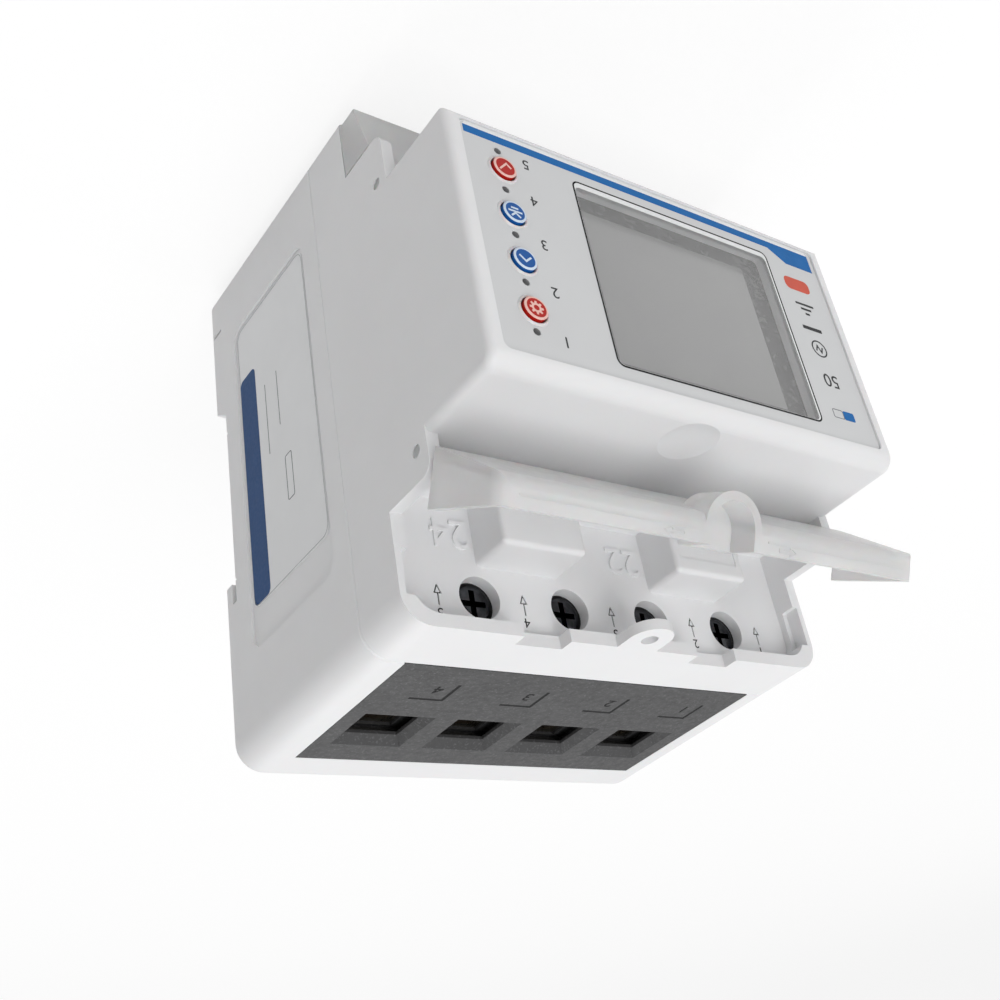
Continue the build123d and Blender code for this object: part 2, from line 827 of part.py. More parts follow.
def make_cover(ear_end):
    """One clear terminal cover at the top end, closed."""
    start = ear_end + run_gap
    shell = side_profile(cover_section(start, 0, 0), half_width)
    front_edge = -rim_depth - run_gap - cut_overrun
    corner_edges = [
        edge
        for edge in shell.edges()
        if near(edge.center().Z, half_height)
        and edge.center().Y < front_edge
    ]
    shell = fillet(corner_edges, cover_corner_round)
    shell -= side_profile(cover_section(start, cover_wall, cut_overrun), half_width - cover_wall)
    ear_inner = half_width - side_wall - run_gap
    top = start + cover_wall
    apron = side_profile(
        [
            (-cover_depth, hinge_z),
            (-cover_depth, cover_slant_z),
            (cover_front(top), top),
            (cover_front(top) + cover_wall, top),
            (-cover_depth + cover_wall, cover_slant_z),
            (-cover_depth + cover_wall, hinge_z),
        ],
        ear_inner,
    )
    barrel = rod_x(both(ear_inner), -hinge_depth, hinge_z, barrel_radius)
    pins = rod_x(both(half_width - pin_sink), -hinge_depth, hinge_z, pin_radius)
    cover = shell + apron + barrel + pins
    cowl_span = (half_height - cowl_length, half_height)
    bore_span = (half_height - cowl_length + cover_wall, half_height + cut_overrun)
    cowl = rod_z(0, -seal_depth, cowl_span, cowl_radius)
    below = block(both(cowl_radius), (-rim_depth - run_gap, 0), cowl_span)
    lug_room = block(both(cowl_bore_radius), (-seal_depth, 0), bore_span)
    cover += cowl - below
    return cover - rod_z(0, -seal_depth, bore_span, cowl_bore_radius) - lug_room


def opened(cover):
    """Turn a closed top cover about its hinge to the angle that it stands at."""
    return cover.rotate(Axis((0, -hinge_depth, hinge_z), (1, 0, 0)), cover_open_angle)


def make_rail_clip():
    """The sliding clip with its hook, T-shaped sides, tongue and tail slot."""
    span = (clip_bottom, clip_top)
    flange_span = (-half_height + clip_travel + clip_tail, -notch_half - clip_travel)
    clip = block(both(clip_half_width), (clip_front, clip_rear), span)
    flange_half = clip_half_width + clip_flange_width
    clip += block(both(flange_half), (clip_front, clip_front + clip_flange), flange_span)
    hook_edge = [
        edge
        for edge in clip.edges().filter_by(Axis.X)
        if edge.center().Z > clip_top - clip_lead and edge.center().Y > clip_rear - clip_lead
    ]
    clip = chamfer(hook_edge, clip_lead)
    tongue_z = (tongue_top - clip_tongue_thickness, tongue_top)
    clip += block(both(clip_tongue_half_width), (clip_front - clip_tongue_height, clip_front), tongue_z)
    slot_z = clip_bottom + clip_tail / 2
    slot = block(both(clip_slot_width / 2), (clip_front - cut_overrun, clip_rear + cut_overrun),
                 about(slot_z, clip_slot_height))
    return clip - slot


def make_clip_spring():
    """The clip's return spring, a coil between the pocket floor and the tongue."""
    coil_radius = spring_radius - spring_wire / 2
    rise = spring_length - spring_wire - seat_gap
    path = Helix(rise / spring_turns, rise, coil_radius)
    start = path @ 0
    profile = Plane(origin=start, z_dir=path % 0) * Circle(spring_wire / 2)
    coil = sweep(profile, path=path)
    centre_y = clip_front - clip_tongue_height / 2 - run_gap / 2
    return Pos(0, centre_y, -foot_slit_drop + (spring_wire + seat_gap) / 2) * coil


def make_case_screws():
    """The four screws that hold the front case to the base, from the rear."""
    screws = []
    head_rear = foot_rise - case_screw_sink
    for x, z in post_places:
        head = rod_y(x, (head_rear - case_screw_head, head_rear), z, case_screw_head_radius)
        shaft = rod_y(x, (-seam_depth - case_screw_bite, head_rear - case_screw_head), z, case_screw_radius)
        y_span = (head_rear - case_screw_head / 2, head_rear + cut_overrun)
        reach = case_screw_head_radius * cross_reach_share
        half_slot = cross_width / 2
        across = block((x - reach, x + reach), y_span, (z - half_slot, z + half_slot))
        upright = block((x - half_slot, x + half_slot), y_span, (z - reach, z + reach))
        screws.append(head + shaft - across - upright)
    return screws


def make_board_screws(places, face, sign, thickness):
    """Small screws through a board, with their heads towards sign along Y."""
    screws = []
    length = thickness + board_screw_bite - run_gap
    for x, z in places:
        head = rod_y(x, (face, face + sign * board_screw_head), z, board_screw_head_radius)
        shaft = rod_y(x, (face, face - sign * length), z, board_screw_radius)
        slot = block(
            (x - board_screw_head_radius, x + board_screw_head_radius),
            (face + sign * board_screw_head / 2, face + sign * (board_screw_head + cut_overrun)),
            about(z, board_slot_width),
        )
        screws.append(head + shaft - slot)
    return screws


def make_display_panel():
    """The front plate with its window, button and light holes."""
    panel = block(
        both(panel_half_width), (-pocket_floor - panel_thickness, -pocket_floor), (panel_bottom, panel_top)
    )
    return rounded_along(panel, Axis.Y, panel_round) - front_openings()


def make_display_window():
    """The clear pane that fills the window in the panel."""
    half_w = window_width / 2 - seat_gap
    front = -pocket_floor - panel_thickness
    pane = block(
        (window_x - half_w, window_x + half_w), (front, front + window_thickness),
        both(window_height / 2 - seat_gap),
    )
    return rounded_along(pane, Axis.Y, window_round)


def display_slab(y_span, margin):
    """A flat layer of the display, larger than the window by a margin."""
    half_w = window_width / 2 + margin
    return block((window_x - half_w, window_x + half_w), y_span, both(window_height / 2 + margin))


def make_display_board():
    """The board behind the panel, drilled for its four screws."""
    board = block(
        both(half_width - shell_wall - display_board_margin),
        (-board_front, -board_back),
        both(nose_half - shell_wall - display_board_margin),
    )
    for x, z in display_post_places:
        board -= rod_y(x, (-board_front - cut_overrun, -board_back + cut_overrun), z,
                       board_screw_radius + seat_gap)
    return board


def make_button(z):
    """One push button: dished head, retaining flange and stem."""
    head_front = pocket_floor + panel_thickness + button_proud
    flange_front = wall_back - run_gap
    head = rod_y(button_x, (-head_front, -flange_front + button_flange), z, button_radius)
    head = fillet(head.edges().sort_by(Axis.Y)[0], button_dome)
    flange = rod_y(button_x, (-flange_front, -flange_front + button_flange), z,
                   button_radius + button_flange_width)
    stem_end = flange_front - button_flange - button_stem
    stem = rod_y(button_x, (-flange_front, -stem_end), z, button_stem_radius)
    return head + flange + stem


def make_tact_switches():
    """The four switches on the board, one behind each button."""
    switches = []
    half = switch_width / 2
    for z in button_places:
        body = block((button_x - half, button_x + half), (-board_front - switch_height, -board_front),
                     (z - half, z + half))
        plunger = rod_y(button_x, (-plunger_front, -board_front - switch_height), z, plunger_radius)
        switches.append(body + plunger)
    return switches


def make_leds():
    """The five indicator lights on the board."""
    leds = []
    for z in light_places:
        y_span = (-board_front - led_thickness, -board_front)
        leds.append(block(about(light_x, led_height), y_span, about(z, led_width)))
    return leds


def make_light_pipes():
    """The five clear pins that carry the light through the panel."""
    pipes = []
    face = pocket_floor + panel_thickness
    for z in light_places:
        pin = rod_y(light_x, (-face, -board_front - led_thickness - seat_gap), z, light_radius)
        rim_span = (-wall_back, -wall_back + light_pipe_rim_height)
        rim = rod_y(light_x, rim_span, z, light_radius + light_pipe_rim)
        pipes.append(pin + rim)
    return pipes


def make_main_board():
    """The board with the meter's electronics, on four standoffs."""
    board = block(both(board_half_width), (-board_face, -board_depth), both(board_half_height))
    for x, z in standoff_places:
        board -= rod_y(x, (-board_face - cut_overrun, -board_depth + cut_overrun), z,
                       board_screw_radius + seat_gap)
    return board


def make_current_sensors():
    """The three ring sensors round the phase bars, behind the board."""
    sensors = []
    for x in pole_x[:sensor_count]:
        body = block(about(x, sensor_width), (-board_depth, -sensor_rear),
                     both(sensor_length / 2))
        body = rounded_along(body, Axis.Z, sensor_round)
        hole = block(
            (x - bar_width / 2 - sensor_play, x + bar_width / 2 + sensor_play),
            (-bar_rear - bar_thickness - sensor_play, -bar_rear + sensor_play),
            both(sensor_length / 2 + cut_overrun),
        )
        sensors.append(body - hole)
    return sensors


def make_transformer():
    """The small supply transformer: laminated core round a winding."""
    core = block(
        about(transformer_x, transformer_width),
        (-board_face - transformer_rise, -board_face),
        about(transformer_z, transformer_height),
    )
    winding = block(
        about(transformer_x, winding_width),
        (-board_face - winding_rise, -board_face),
        about(transformer_z, winding_height),
    )
    return core + rounded_along(winding, Axis.Y, winding_round)


def make_capacitors():
    """The two upright electrolytic capacitors of the supply."""
    cans = []
    y_span = (-board_face - capacitor_rise, -board_face)
    for shift in spread(capacitor_count, capacitor_pitch):
        can = rod_y(capacitor_x, y_span, capacitor_z + shift, capacitor_radius)
        cans.append(fillet(can.edges().sort_by(Axis.Y)[0], capacitor_round))
    return cans


def make_varistors():
    """The three surge discs, upright on their leads' standoff."""
    discs = []
    centre_y = -board_face - varistor_lead - varistor_radius
    for shift in spread(varistor_count, varistor_pitch):
        x = varistor_x + shift
        disc = rod_z(x, centre_y, about(varistor_z, varistor_thickness),
                     varistor_radius)
        foot = block((x - varistor_lead, x + varistor_lead), (centre_y, -board_face),
                     about(varistor_z, varistor_foot))
        discs.append(disc + foot)
    return discs


def make_chips():
    """The metering chip and the controller."""
    y_span = (-board_face - chip_thickness, -board_face)
    chips = []
    for shift in spread(chip_count, chip_pitch):
        chips.append(block(about(chip_x + shift, chip_width), y_span, about(chip_z, chip_width)))
    return chips


def make_battery():
    """The clock's coin cell in its holder."""
    holder_front = -board_face - battery_holder_wall
    cell = rod_y(battery_x, (holder_front - battery_thickness, -board_face), battery_z, battery_radius)
    holder_half_height = battery_radius + battery_holder_wall
    holder = block(
        about(battery_x, battery_holder_width),
        (holder_front, -board_face),
        (battery_z - holder_half_height, battery_z + holder_half_height),
    )
    return cell + holder


def make_radio():
    """The wireless module's own small board, behind the display board."""
    y_span = (-board_back, -board_back + radio_thickness)
    return block(about(radio_x, radio_width), y_span,
                 about(radio_z, radio_height))


def make_radio_shield():
    """The metal can over the wireless module."""
    half = radio_width / 2 - shield_margin
    low = radio_z - radio_height / 2 + shield_margin
    can = block((radio_x - half, radio_x + half), (radio_face, radio_face + shield_thickness),
                (low, low + shield_height))
    return rounded_along(can, Axis.Y, shield_margin)


def make_antenna():
    """The flat aerial at the free end of the wireless module."""
    high = radio_z + radio_height / 2 - shield_margin
    return block(about(radio_x, antenna_width),
                 (radio_face, radio_face + antenna_thickness), (high - antenna_height, high))


def make_ribbon():
    """The flat lead that joins the two boards."""
    return block(about(ribbon_x, ribbon_width), (-board_back, -board_face),
                 about(ribbon_z, ribbon_thickness))


def main():
    """Make every piece and write each node to its own file."""
    os.makedirs("parts", exist_ok=True)
    save(make_rear_base(), "rear_base")
    save(make_front_case(), "front_case")
    save(make_side_label(), "side_label")
    save(make_case_screws(), "case_screws")
    terminal_block = make_terminal_block()
    save(make_busbars(), "busbars")
    for end, sign in (("top", 1), ("bottom", -1)):
        save(at_end(terminal_block, sign), "terminal_block_" + end)
        for index, x in enumerate(pole_x):
            number = str(index + 1)
            save(at_end(make_clamp_screw(x), sign), "clamp_screw_" + end + "_" + number)
            save(at_end(make_clamp_cage(x), sign), "clamp_cage_" + end + "_" + number)
    save(opened(make_cover(ear_end_top)), "terminal_cover_top")
    save(at_end(make_cover(ear_end_bottom), -1), "terminal_cover_bottom")
    save(make_rail_clip(), "rail_clip")
    save(make_clip_spring(), "rail_clip_spring")
    save(make_display_panel(), "display_panel")
    save(make_display_window(), "display_window")
    glass_front = wall_back - seat_gap
    glass_back = glass_front - glass_thickness
    save(display_slab((-glass_front, -glass_back), glass_margin), "lcd_glass")
    save(display_slab((-glass_back, -board_front), backlight_margin), "lcd_backlight")
    save(make_display_board(), "display_board")
    screws = make_board_screws(display_post_places, -board_back, 1, display_board_thickness)
    save(screws, "display_board_screws")
    for name, z in zip(button_names, button_places):
        save(make_button(z), "button_" + name)
    save(make_tact_switches(), "tact_switches")
    save(make_leds(), "status_leds")
    save(make_light_pipes(), "light_pipes")
    save(make_main_board(), "main_board")
    save(make_board_screws(standoff_places, -board_face, -1, board_thickness), "main_board_screws")
    save(make_current_sensors(), "current_transformers")
    save(make_transformer(), "power_transformer")
    save(make_capacitors(), "supply_capacitors")
    save(make_varistors(), "surge_varistors")
    save(make_chips(), "circuit_chips")
    save(make_battery(), "backup_battery")
    save(make_radio(), "wifi_module")
    save(make_radio_shield(), "wifi_shield")
    save(make_antenna(), "wifi_antenna")
    save(make_ribbon(), "board_ribbon")


main()
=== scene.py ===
import json
import math
from functools import partial

import bmesh
import bpy
import numpy as np
from bpy.props import FloatProperty, FloatVectorProperty, PointerProperty
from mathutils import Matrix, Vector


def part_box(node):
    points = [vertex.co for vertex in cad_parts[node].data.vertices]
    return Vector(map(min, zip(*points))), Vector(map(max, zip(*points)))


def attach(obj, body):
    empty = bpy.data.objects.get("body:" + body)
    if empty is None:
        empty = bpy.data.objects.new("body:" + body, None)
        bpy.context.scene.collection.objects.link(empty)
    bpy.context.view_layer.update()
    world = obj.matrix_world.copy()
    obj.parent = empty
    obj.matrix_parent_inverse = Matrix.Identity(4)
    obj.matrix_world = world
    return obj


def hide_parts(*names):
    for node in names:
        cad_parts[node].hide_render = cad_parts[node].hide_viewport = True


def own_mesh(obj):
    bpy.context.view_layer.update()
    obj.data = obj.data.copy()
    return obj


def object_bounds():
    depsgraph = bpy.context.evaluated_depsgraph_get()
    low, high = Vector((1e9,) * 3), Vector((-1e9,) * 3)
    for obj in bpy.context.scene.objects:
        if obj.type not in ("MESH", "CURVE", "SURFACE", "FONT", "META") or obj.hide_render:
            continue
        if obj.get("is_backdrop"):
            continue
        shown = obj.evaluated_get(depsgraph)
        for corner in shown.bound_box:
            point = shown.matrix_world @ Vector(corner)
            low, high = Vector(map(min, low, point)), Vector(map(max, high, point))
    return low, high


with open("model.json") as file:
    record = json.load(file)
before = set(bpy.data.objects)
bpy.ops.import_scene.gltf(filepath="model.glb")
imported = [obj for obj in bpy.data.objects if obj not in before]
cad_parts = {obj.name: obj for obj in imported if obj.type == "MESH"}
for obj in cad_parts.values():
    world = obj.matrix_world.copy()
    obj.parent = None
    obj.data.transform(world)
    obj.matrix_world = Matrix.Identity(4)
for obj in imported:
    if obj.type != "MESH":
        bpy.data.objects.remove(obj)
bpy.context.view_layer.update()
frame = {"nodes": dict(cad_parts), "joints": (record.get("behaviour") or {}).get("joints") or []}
nodes = frame["nodes"]

bl_info = {
    "name": "Smart energy monitor",
    "version": (1, 0),
    "blender": (4, 5, 0),
    "location": "3D View > Sidebar > Energy monitor",
    "description": "Gives a rail-mounted energy monitor its finishes, prints, marks, light and camera",
    "category": "Object",
}

MM = 0.001

# Boxes on the front film, in millimetres: left, right, low, high and corner radius
RED_TAG = (-32.2, -26.4, -13.5, -10.8, 1.0)
BLUE_TAG = (-31.8, -29.3, 13.5, 15.2, 0.3)
TAG_FRAME = (-29.3, -26.9, 13.5, 15.2, 0.3)
BAR = (-31.4, -27.0, -3.1, -2.4, 0.1)
# Line marks on the front film, each a row of across and along
EARTH_LINES = (((-31.5, -7.9), (-27.3, -7.9)), ((-30.6, -6.9), (-28.2, -6.9)), ((-29.9, -5.9), (-28.9, -5.9)))
WAVE = ((-30.0, 0.9), (-29.5, 2.0), (-28.9, 0.7), (-28.4, 1.8))
WAVE_CENTRE = (-29.2, 1.3)
RATING_PLACE = (-29.3, 7.6)
FILM_ROUND, FILM_RIM_GAP, WINDOW_ROUND = 1.2, 0.02, 1.0
# The stripe's gaps to the film's left, right and foot, and how far its white edge is cut back at the corners
STRIPE_LEFT, STRIPE_RIGHT, STRIPE_FOOT, STRIPE_CORNER = 0.8, 0.6, 0.1, 0.5
# The slope at the stripe's wide end, as places across and their rise above its upper edge
STRIPE_BEND = ((-24.8, 0.0), (-28.4, 2.3))
# Earth lines are this many times as wide as the other marks, the window's painted highlight on its far side
# this share of its width at the foot
EARTH_LINE_SHARE, HIGHLIGHT_FAR_SHARE = 1.6, 1 / 3
# Beside the lights: their numbers, all at one place across, and how high each stands
LIGHT_NUMBERS = {5: -16.6, 4: -9.4, 3: -1.3, 2: 7.2, 1: 15.6}
LIGHT_NUMBER_X = 24.9
# The lights: one at the foot of the row and four an even step apart
LIGHT_X = 29.6
LIGHT_STEP = 8.35
LIGHT_INSET = 0.75
# Icons on the buttons, as rows of across and along from the button's middle
ICONS = {
    "confirm": (((-0.95, 0.05), (-0.25, -0.7), (1.0, 0.7)),),
    "scroll": (((-0.75, 0.95), (0.0, 0.25), (0.75, 0.95)), ((-1.15, 0.0), (1.15, 0.0)),
               ((-0.6, -0.6), (0.6, -0.6))),
    "step": (((-0.95, -0.4), (0.0, 0.5), (0.95, -0.4)),),
    "menu": (),
}
RED_BUTTONS = ("confirm", "menu")
# How far round the cap's edge its painted highlight goes, in radians
EDGE_TURN = 1.0
COG_TEETH = 8
# The pale lip: how deep its root is, its inner and outer shoulder as shares of its rise, and its outer flare
LIP_ROOT, LIP_INNER, LIP_OUTER, LIP_FLARE = 0.05, 0.6, 0.5, 0.1
# The display's border passes the window by this much, and its outer and inner corners are rounded
BORDER_REACH, BORDER_OUTER_ROUND, BORDER_INNER_ROUND = 0.5, 0.6, 0.3
# Side label: the band's span, two rules and the empty stamp frame, as across and along
BAND_SPAN = (-20.5, 21.9)
LABEL_RULES = (((-14.4, -14.5), (-14.4, -1.0)), ((-18.6, -14.5), (-18.6, -4.0)))
STAMP_FRAME = (-21.4, -19.2, 2.5, 10.5, 0.4)
BAND_REAR_GAP = 0.15
# Deck: raised numbers by place, and the engraved arrows
DECK_NUMBERS = {"24": (26.7, 27.6), "22": (-4.3, 27.7)}
ARROWS_X = (-29.8, -15.8, 0.0, 15.8, 29.8)
ARROW_TIP, ARROW_NECK, ARROW_TAIL = 36.1, 37.3, 39.0
ARROW_NUMBER_Z = 40.25
DECK_DEPTH = 43.0
# Below the deck, the foot and the top of the painted shade in the arrows' grooves: a dark plate that stands
# for the shade inside each engraving
ARROW_SHADE_FOOT, ARROW_SHADE_TOP = 0.21, 0.15
# The angle beside each wire entry: its sides and foot from the pole's middle, and how deep its groove is
ANGLE_LEFT, ANGLE_RIGHT, ANGLE_FAR, ANGLE_LEG, ANGLE_SINK = -3.17, 2.25, -25.6, 5.2, 0.4
POLE_NUMBER_PLACE = (-0.7, -28.9)
# Covers: a line along the free end, and an arrow's outline round its own middle, in a finer line
COVER_LINE_START, COVER_LINE_MARGIN, COVER_LINE_DROP, COVER_LINE_ROOT = 6.5, 3.0, 1.7, 0.03
COVER_ARROW_X, COVER_ARROW_LINE_SHARE = 10.5, 0.5
COVER_ARROW = ((-1.7, 0.25), (0.4, 0.25), (0.4, 0.6), (1.7, 0.0), (0.4, -0.6), (0.4, -0.25), (-1.7, -0.25),
               (-1.7, 0.15))

# Meshes: points nearer than this, in metres, are one, and an edge sharper than this angle stays sharp
MERGE_REACH, SMOOTH_ANGLE = 1e-7, 35
# A digit's height as a share of its text size
DIGIT_SHARE = 0.72

# Stage, in metres: the floor's half width, points across and along, flat radius and curve beyond it
FLOOR_HALF, FLOOR_POINTS, FLOOR_FLAT, FLOOR_CURVE = 3.0, (41, 61), 1.4, 0.5
# The paper's clouds in millimetres, and the share and strength of plain white that the camera sees
PAPER_CLOUD, WHITE_SHARE, WHITE_STRENGTH = 60, 0.78, 1.08
# Lamps: place, size and power. Two stand above the front and the rear, two weak ones at front and far side
LAMPS = {"key": ((0.08, -0.45, 0.55), 0.4, 2.5), "rear": ((0.0, 0.35, 0.55), 0.4, 1.4),
         "front": ((-0.25, -0.75, 0.18), 0.5, 0.6), "far": ((-0.7, 0.1, 0.35), 0.4, 0.8)}
WORLD_LIGHT, WORLD_SEEN = 0.42, 1.0
# Camera, solved from the photograph's corners: place, turn in degrees, lens, sensor, shift, clipping
CAMERA_PLACE, CAMERA_TURN = (0.119503, -0.173858, 0.115876), (-57.76843, -11.98287, -142.37131)
CAMERA_LENS, CAMERA_SENSOR, CAMERA_SHIFT, CAMERA_CLIP = 46.909, 36.0, (-0.12459, -0.06502), (0.01, 20.0)


# Small helpers

def linear(hex_text):
    """Turns an sRGB hex colour into the linear colour that Blender works with."""
    srgb = np.array([int(hex_text[i:i + 2], 16) for i in (1, 3, 5)]) / 255.0
    low, high = srgb / 12.92, ((srgb + 0.055) / 1.055) ** 2.4
    return (*np.where(srgb <= 0.04045, low, high).tolist(), 1.0)


def length(name, description, millimetres):
    """A size that the sidebar shows as a length."""
    return FloatProperty(name=name, description=description, default=millimetres * MM, min=0.0,
                         precision=5, unit="LENGTH")


def colour(name, description, hex_text):
    """A colour that the sidebar shows as a swatch."""
    return FloatVectorProperty(name=name, description=description, default=linear(hex_text), size=4,
                               min=0.0, max=1.0, subtype="COLOR")


def corners(node):
    """Lowest and highest corner of a node of the frame, in millimetres."""
    low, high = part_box(node)
    return np.array(low) / MM, np.array(high) / MM


class MonitorSizes(bpy.types.PropertyGroup):
    """Sizes of what is printed, raised or fitted on the monitor."""

    ink: length("Ink", "Thickness of a printed layer", 0.03)
    stripe: length("Stripe", "Width of the blue stripe along the panel", 1.45)
    stripe_edge: length("Stripe edge", "Width of the white edge outside the stripe", 0.75)
    outline: length("Window outline", "Width of the dark line round the window", 0.3)
    # The display's dark border is partly its own border and partly painted shade from the window's walls, so
    # it is widest at the far side.
    mask: length("Display mask", "Width of the dark border inside the display", 4.0)
    mask_near: length("Near mask", "Width of that border at the button side and the ends", 2.75)
    number: length("Light numbers", "Height of the numbers beside the lights", 1.9)
    rating: length("Rating number", "Height of the number in the panel's column of marks", 2.6)
    mark_line: length("Mark line", "Width of the fine lines in that column", 0.26)
    mark_ring: length("Mark ring", "Outer radius of the ring in that column", 1.7)
    icon_line: length("Icon line", "Width of the lines on the buttons", 0.3)
    cog: length("Cog", "Mean radius of the cog on the menu button", 0.95)
    cog_tooth: length("Cog tooth", "Height of the cog's teeth", 0.34)
    cog_bore: length("Cog bore", "Radius of the hole in the cog", 0.45)
    cap: length("Cap", "Radius of a button's cap", 1.9)
    cap_round: length("Cap rounding", "Radius of the cap's rounded edge", 0.25)
    # Painted highlight: how far the pale skin on the cap's edge reaches onto its flat.
    cap_ring: length("Cap ring", "Width of the pale ring on the flat of the cap", 0.1)
    button_lip_bore: length("Lip bore", "Inner radius of the pale lip round each button", 2.08)
    button_lip: length("Button lip", "Width of the pale lip round each button", 0.34)
    button_lip_rise: length("Lip rise", "Height of that lip above the panel", 0.28)
    lens: length("Lens", "Radius of each indicator lens", 0.52)
    lens_dome: length("Lens dome", "Rise of each indicator lens", 0.12)
    band: length("Label band", "Width of the blue band on the side label", 5.5)
    band_round: length("Band corners", "Radius of the blue band's corners", 1.1)
    label_round: length("Label corners", "Radius of the label's printed edge line", 2.0)
    rule: length("Label rule", "Width of the fine rules on the side label", 0.13)
    deck_number: length("Deck numbers", "Height of the raised numbers on the deck", 4.6)
    deck_number_rise: length("Deck number rise", "How far those numbers stand up", 0.35)
    arrow_number: length("Arrow numbers", "Height of the numbers at the small arrows", 1.5)
    arrow_line: length("Arrow line", "Width of the lines in the small arrows", 0.2)
    arrow_half: length("Arrow half width", "Half the width of an arrow's head", 0.5)
    pole_number: length("Pole numbers", "Height of the numbers at the wire entries", 2.3)
    pole_mark_line: length("Pole mark line", "Width of the dark line in each pole mark", 0.54)
    cover_line: length("Cover line", "Width of the raised lines on the covers", 0.28)
    cover_line_rise: length("Cover line rise", "How far those lines stand up", 0.1)
    # Painted highlight: width of the white strip that stands for the lit edge of the window's opening.
    bevel: length("Window bevel", "Width of the pale bevel along the foot of the window", 0.95)


class MonitorColours(bpy.types.PropertyGroup):
    """Colours of the finishes."""

    shell: colour("Shell", "White case halves", "#E6E6E7")
    terminal: colour("Terminal blocks", "Dark blocks at the ends", "#414142")
    cover: colour("Covers", "Clear covers over the terminals", "#EEEEEE")
    panel: colour("Panel", "Grey film on the front", "#CFD0D1")
    stripe: colour("Stripe", "Blue stripe and tag", "#1F6AAE")
    display: colour("Display", "Display glass at rest", "#9C9C9C")
    red: colour("Red buttons", "Confirm and menu", "#B3160C")
    blue: colour("Blue buttons", "Scroll and step", "#0C559F")
    label: colour("Label", "Film of the side label", "#E6E7E8")
    band: colour("Label band", "Blue band of the side label", "#2B4F80")
    floor: colour("Floor", "Plain floor and backdrop", "#DFDFDF")


def sizes():
    """The sizes in millimetres, by name."""
    group = bpy.context.scene.monitor_sizes
    return {name: getattr(group, name) / MM for name in MonitorSizes.__annotations__}


# Shapes. Each gives points in millimetres, as across, along and height, and faces.

def plate(outline, low, high):
    """Carries a flat outline straight from one height to another and closes both ends."""
    count = len(outline)
    points = np.vstack([np.c_[outline, np.full(count, h)] for h in (low, high)])
    here = np.arange(count)
    after = (here + 1) % count
    walls = np.c_[here, after, after + count, here + count].tolist()
    return points, walls + [here[::-1].tolist(), (here + count).tolist()]


def frame_plate(outer, inner, low, high):
    """A flat ring of four equal loops, joined in turn: outer low, outer high, inner high, inner low."""
    count = len(outer)
    loops = ((outer, low), (outer, high), (inner, high), (inner, low))
    points = np.vstack([np.c_[loop, np.full(count, h)] for loop, h in loops])
    here = np.arange(count)
    after = (here + 1) % count
    rows = [((here + a * count), (after + a * count), (after + b * count), (here + b * count))
            for a, b in ((0, 1), (1, 2), (2, 3), (3, 0))]
    return points, np.vstack([np.stack(row, axis=1) for row in rows]).tolist()


def turned(profile, centre, count=48):
    """Turns a closed profile of radius and height once round a centre, as a grid of profile by angle."""
    profile = np.asarray(profile, float)
    angle = np.linspace(0.0, 2 * math.pi, count, endpoint=False)
    radius, height = profile[:, :1], profile[:, 1:]
    points = np.stack([centre[0] + radius * np.cos(angle), centre[1] + radius * np.sin(angle),
                       height + 0.0 * angle], axis=-1).reshape(-1, 3)
    row, column = np.meshgrid(np.arange(len(profile)), np.arange(count), indexing="ij")
    row_after, column_after = (row + 1) % len(profile), (column + 1) % count
    faces = np.stack([row * count + column, row_after * count + column,
                      row_after * count + column_after, row * count + column_after], axis=-1)
    return points, faces.reshape(-1, 4).tolist()


def dome(centre, radius, low, rise, count=40, rings=6):
    """A lens: the height is the rise times 1.05 less the squared share of the radius, on a flat base."""
    share = np.linspace(1.0, 0.0, rings, endpoint=False)[:, None]
    angle = np.linspace(0.0, 2 * math.pi, count, endpoint=False)
    flat = np.stack([centre[0] + radius * share * np.cos(angle), centre[1] + radius * share * np.sin(angle),
                     low + rise * (1.05 - share ** 2) + 0.0 * angle], axis=-1).reshape(-1, 3)
    base = flat[:count] * (1, 1, 0) + (0, 0, low)
    points = np.vstack([base, flat, [[centre[0], centre[1], low + rise * 1.05]]])
    row, column = np.meshgrid(np.arange(rings), np.arange(count), indexing="ij")
    after = (column + 1) % count
    faces = np.stack([row * count + column, row * count + after, (row + 1) * count + after,
                      (row + 1) * count + column], axis=-1).reshape(-1, 4).tolist()
    edge = np.arange(count)
    tip = np.c_[rings * count + edge, rings * count + (edge + 1) % count, np.full(count, len(points) - 1)]
    return points, faces + tip.tolist() + [edge[::-1].tolist()]


def round_box(left, right, low, high, radius, steps=6):
    """Outline of a rectangle with a quarter circle at each corner."""
    quarter = np.linspace(0.0, math.pi / 2, steps)
    places = ((right - radius, high - radius), (left + radius, high - radius),
              (left + radius, low + radius), (right - radius, low + radius))
    return np.vstack([np.c_[x + radius * np.cos(quarter + k * math.pi / 2),
                            z + radius * np.sin(quarter + k * math.pi / 2)]
                      for k, (x, z) in enumerate(places)])


def circle(x, z, radius, count=48):
    """Outline of a circle."""
    angle = np.linspace(0.0, 2 * math.pi, count, endpoint=False)
    return np.c_[x + radius * np.cos(angle), z + radius * np.sin(angle)]


def gear(x, z, radius, tooth, teeth, count=96):
    """Outline of a cog: the radius follows 2.5 times a cosine of the angle, cut flat at 1 and -1."""
    angle = np.linspace(0.0, 2 * math.pi, count, endpoint=False)
    reach = radius + tooth * np.clip(2.5 * np.cos(teeth * angle), -1, 1) / 2
    return np.c_[x + reach * np.cos(angle), z + reach * np.sin(angle)]


def stroke(places, width):
    """Outline of a line of even width: each place is moved to both sides along the mean of its normals."""
    places = np.asarray(places, float)
    run = np.diff(places, axis=0)
    run /= np.linalg.norm(run, axis=1)[:, None]
    normal = np.c_[-run[:, 1], run[:, 0]]
    mean = np.vstack([normal[:1], normal[:-1] + normal[1:], normal[-1:]])
    mean /= np.linalg.norm(mean, axis=1)[:, None]
    near = np.vstack([normal[:1], normal])
    shift = mean * (width / 2 / np.sum(mean * near, axis=1))[:, None]
    return np.vstack([places + shift, (places - shift)[::-1]])


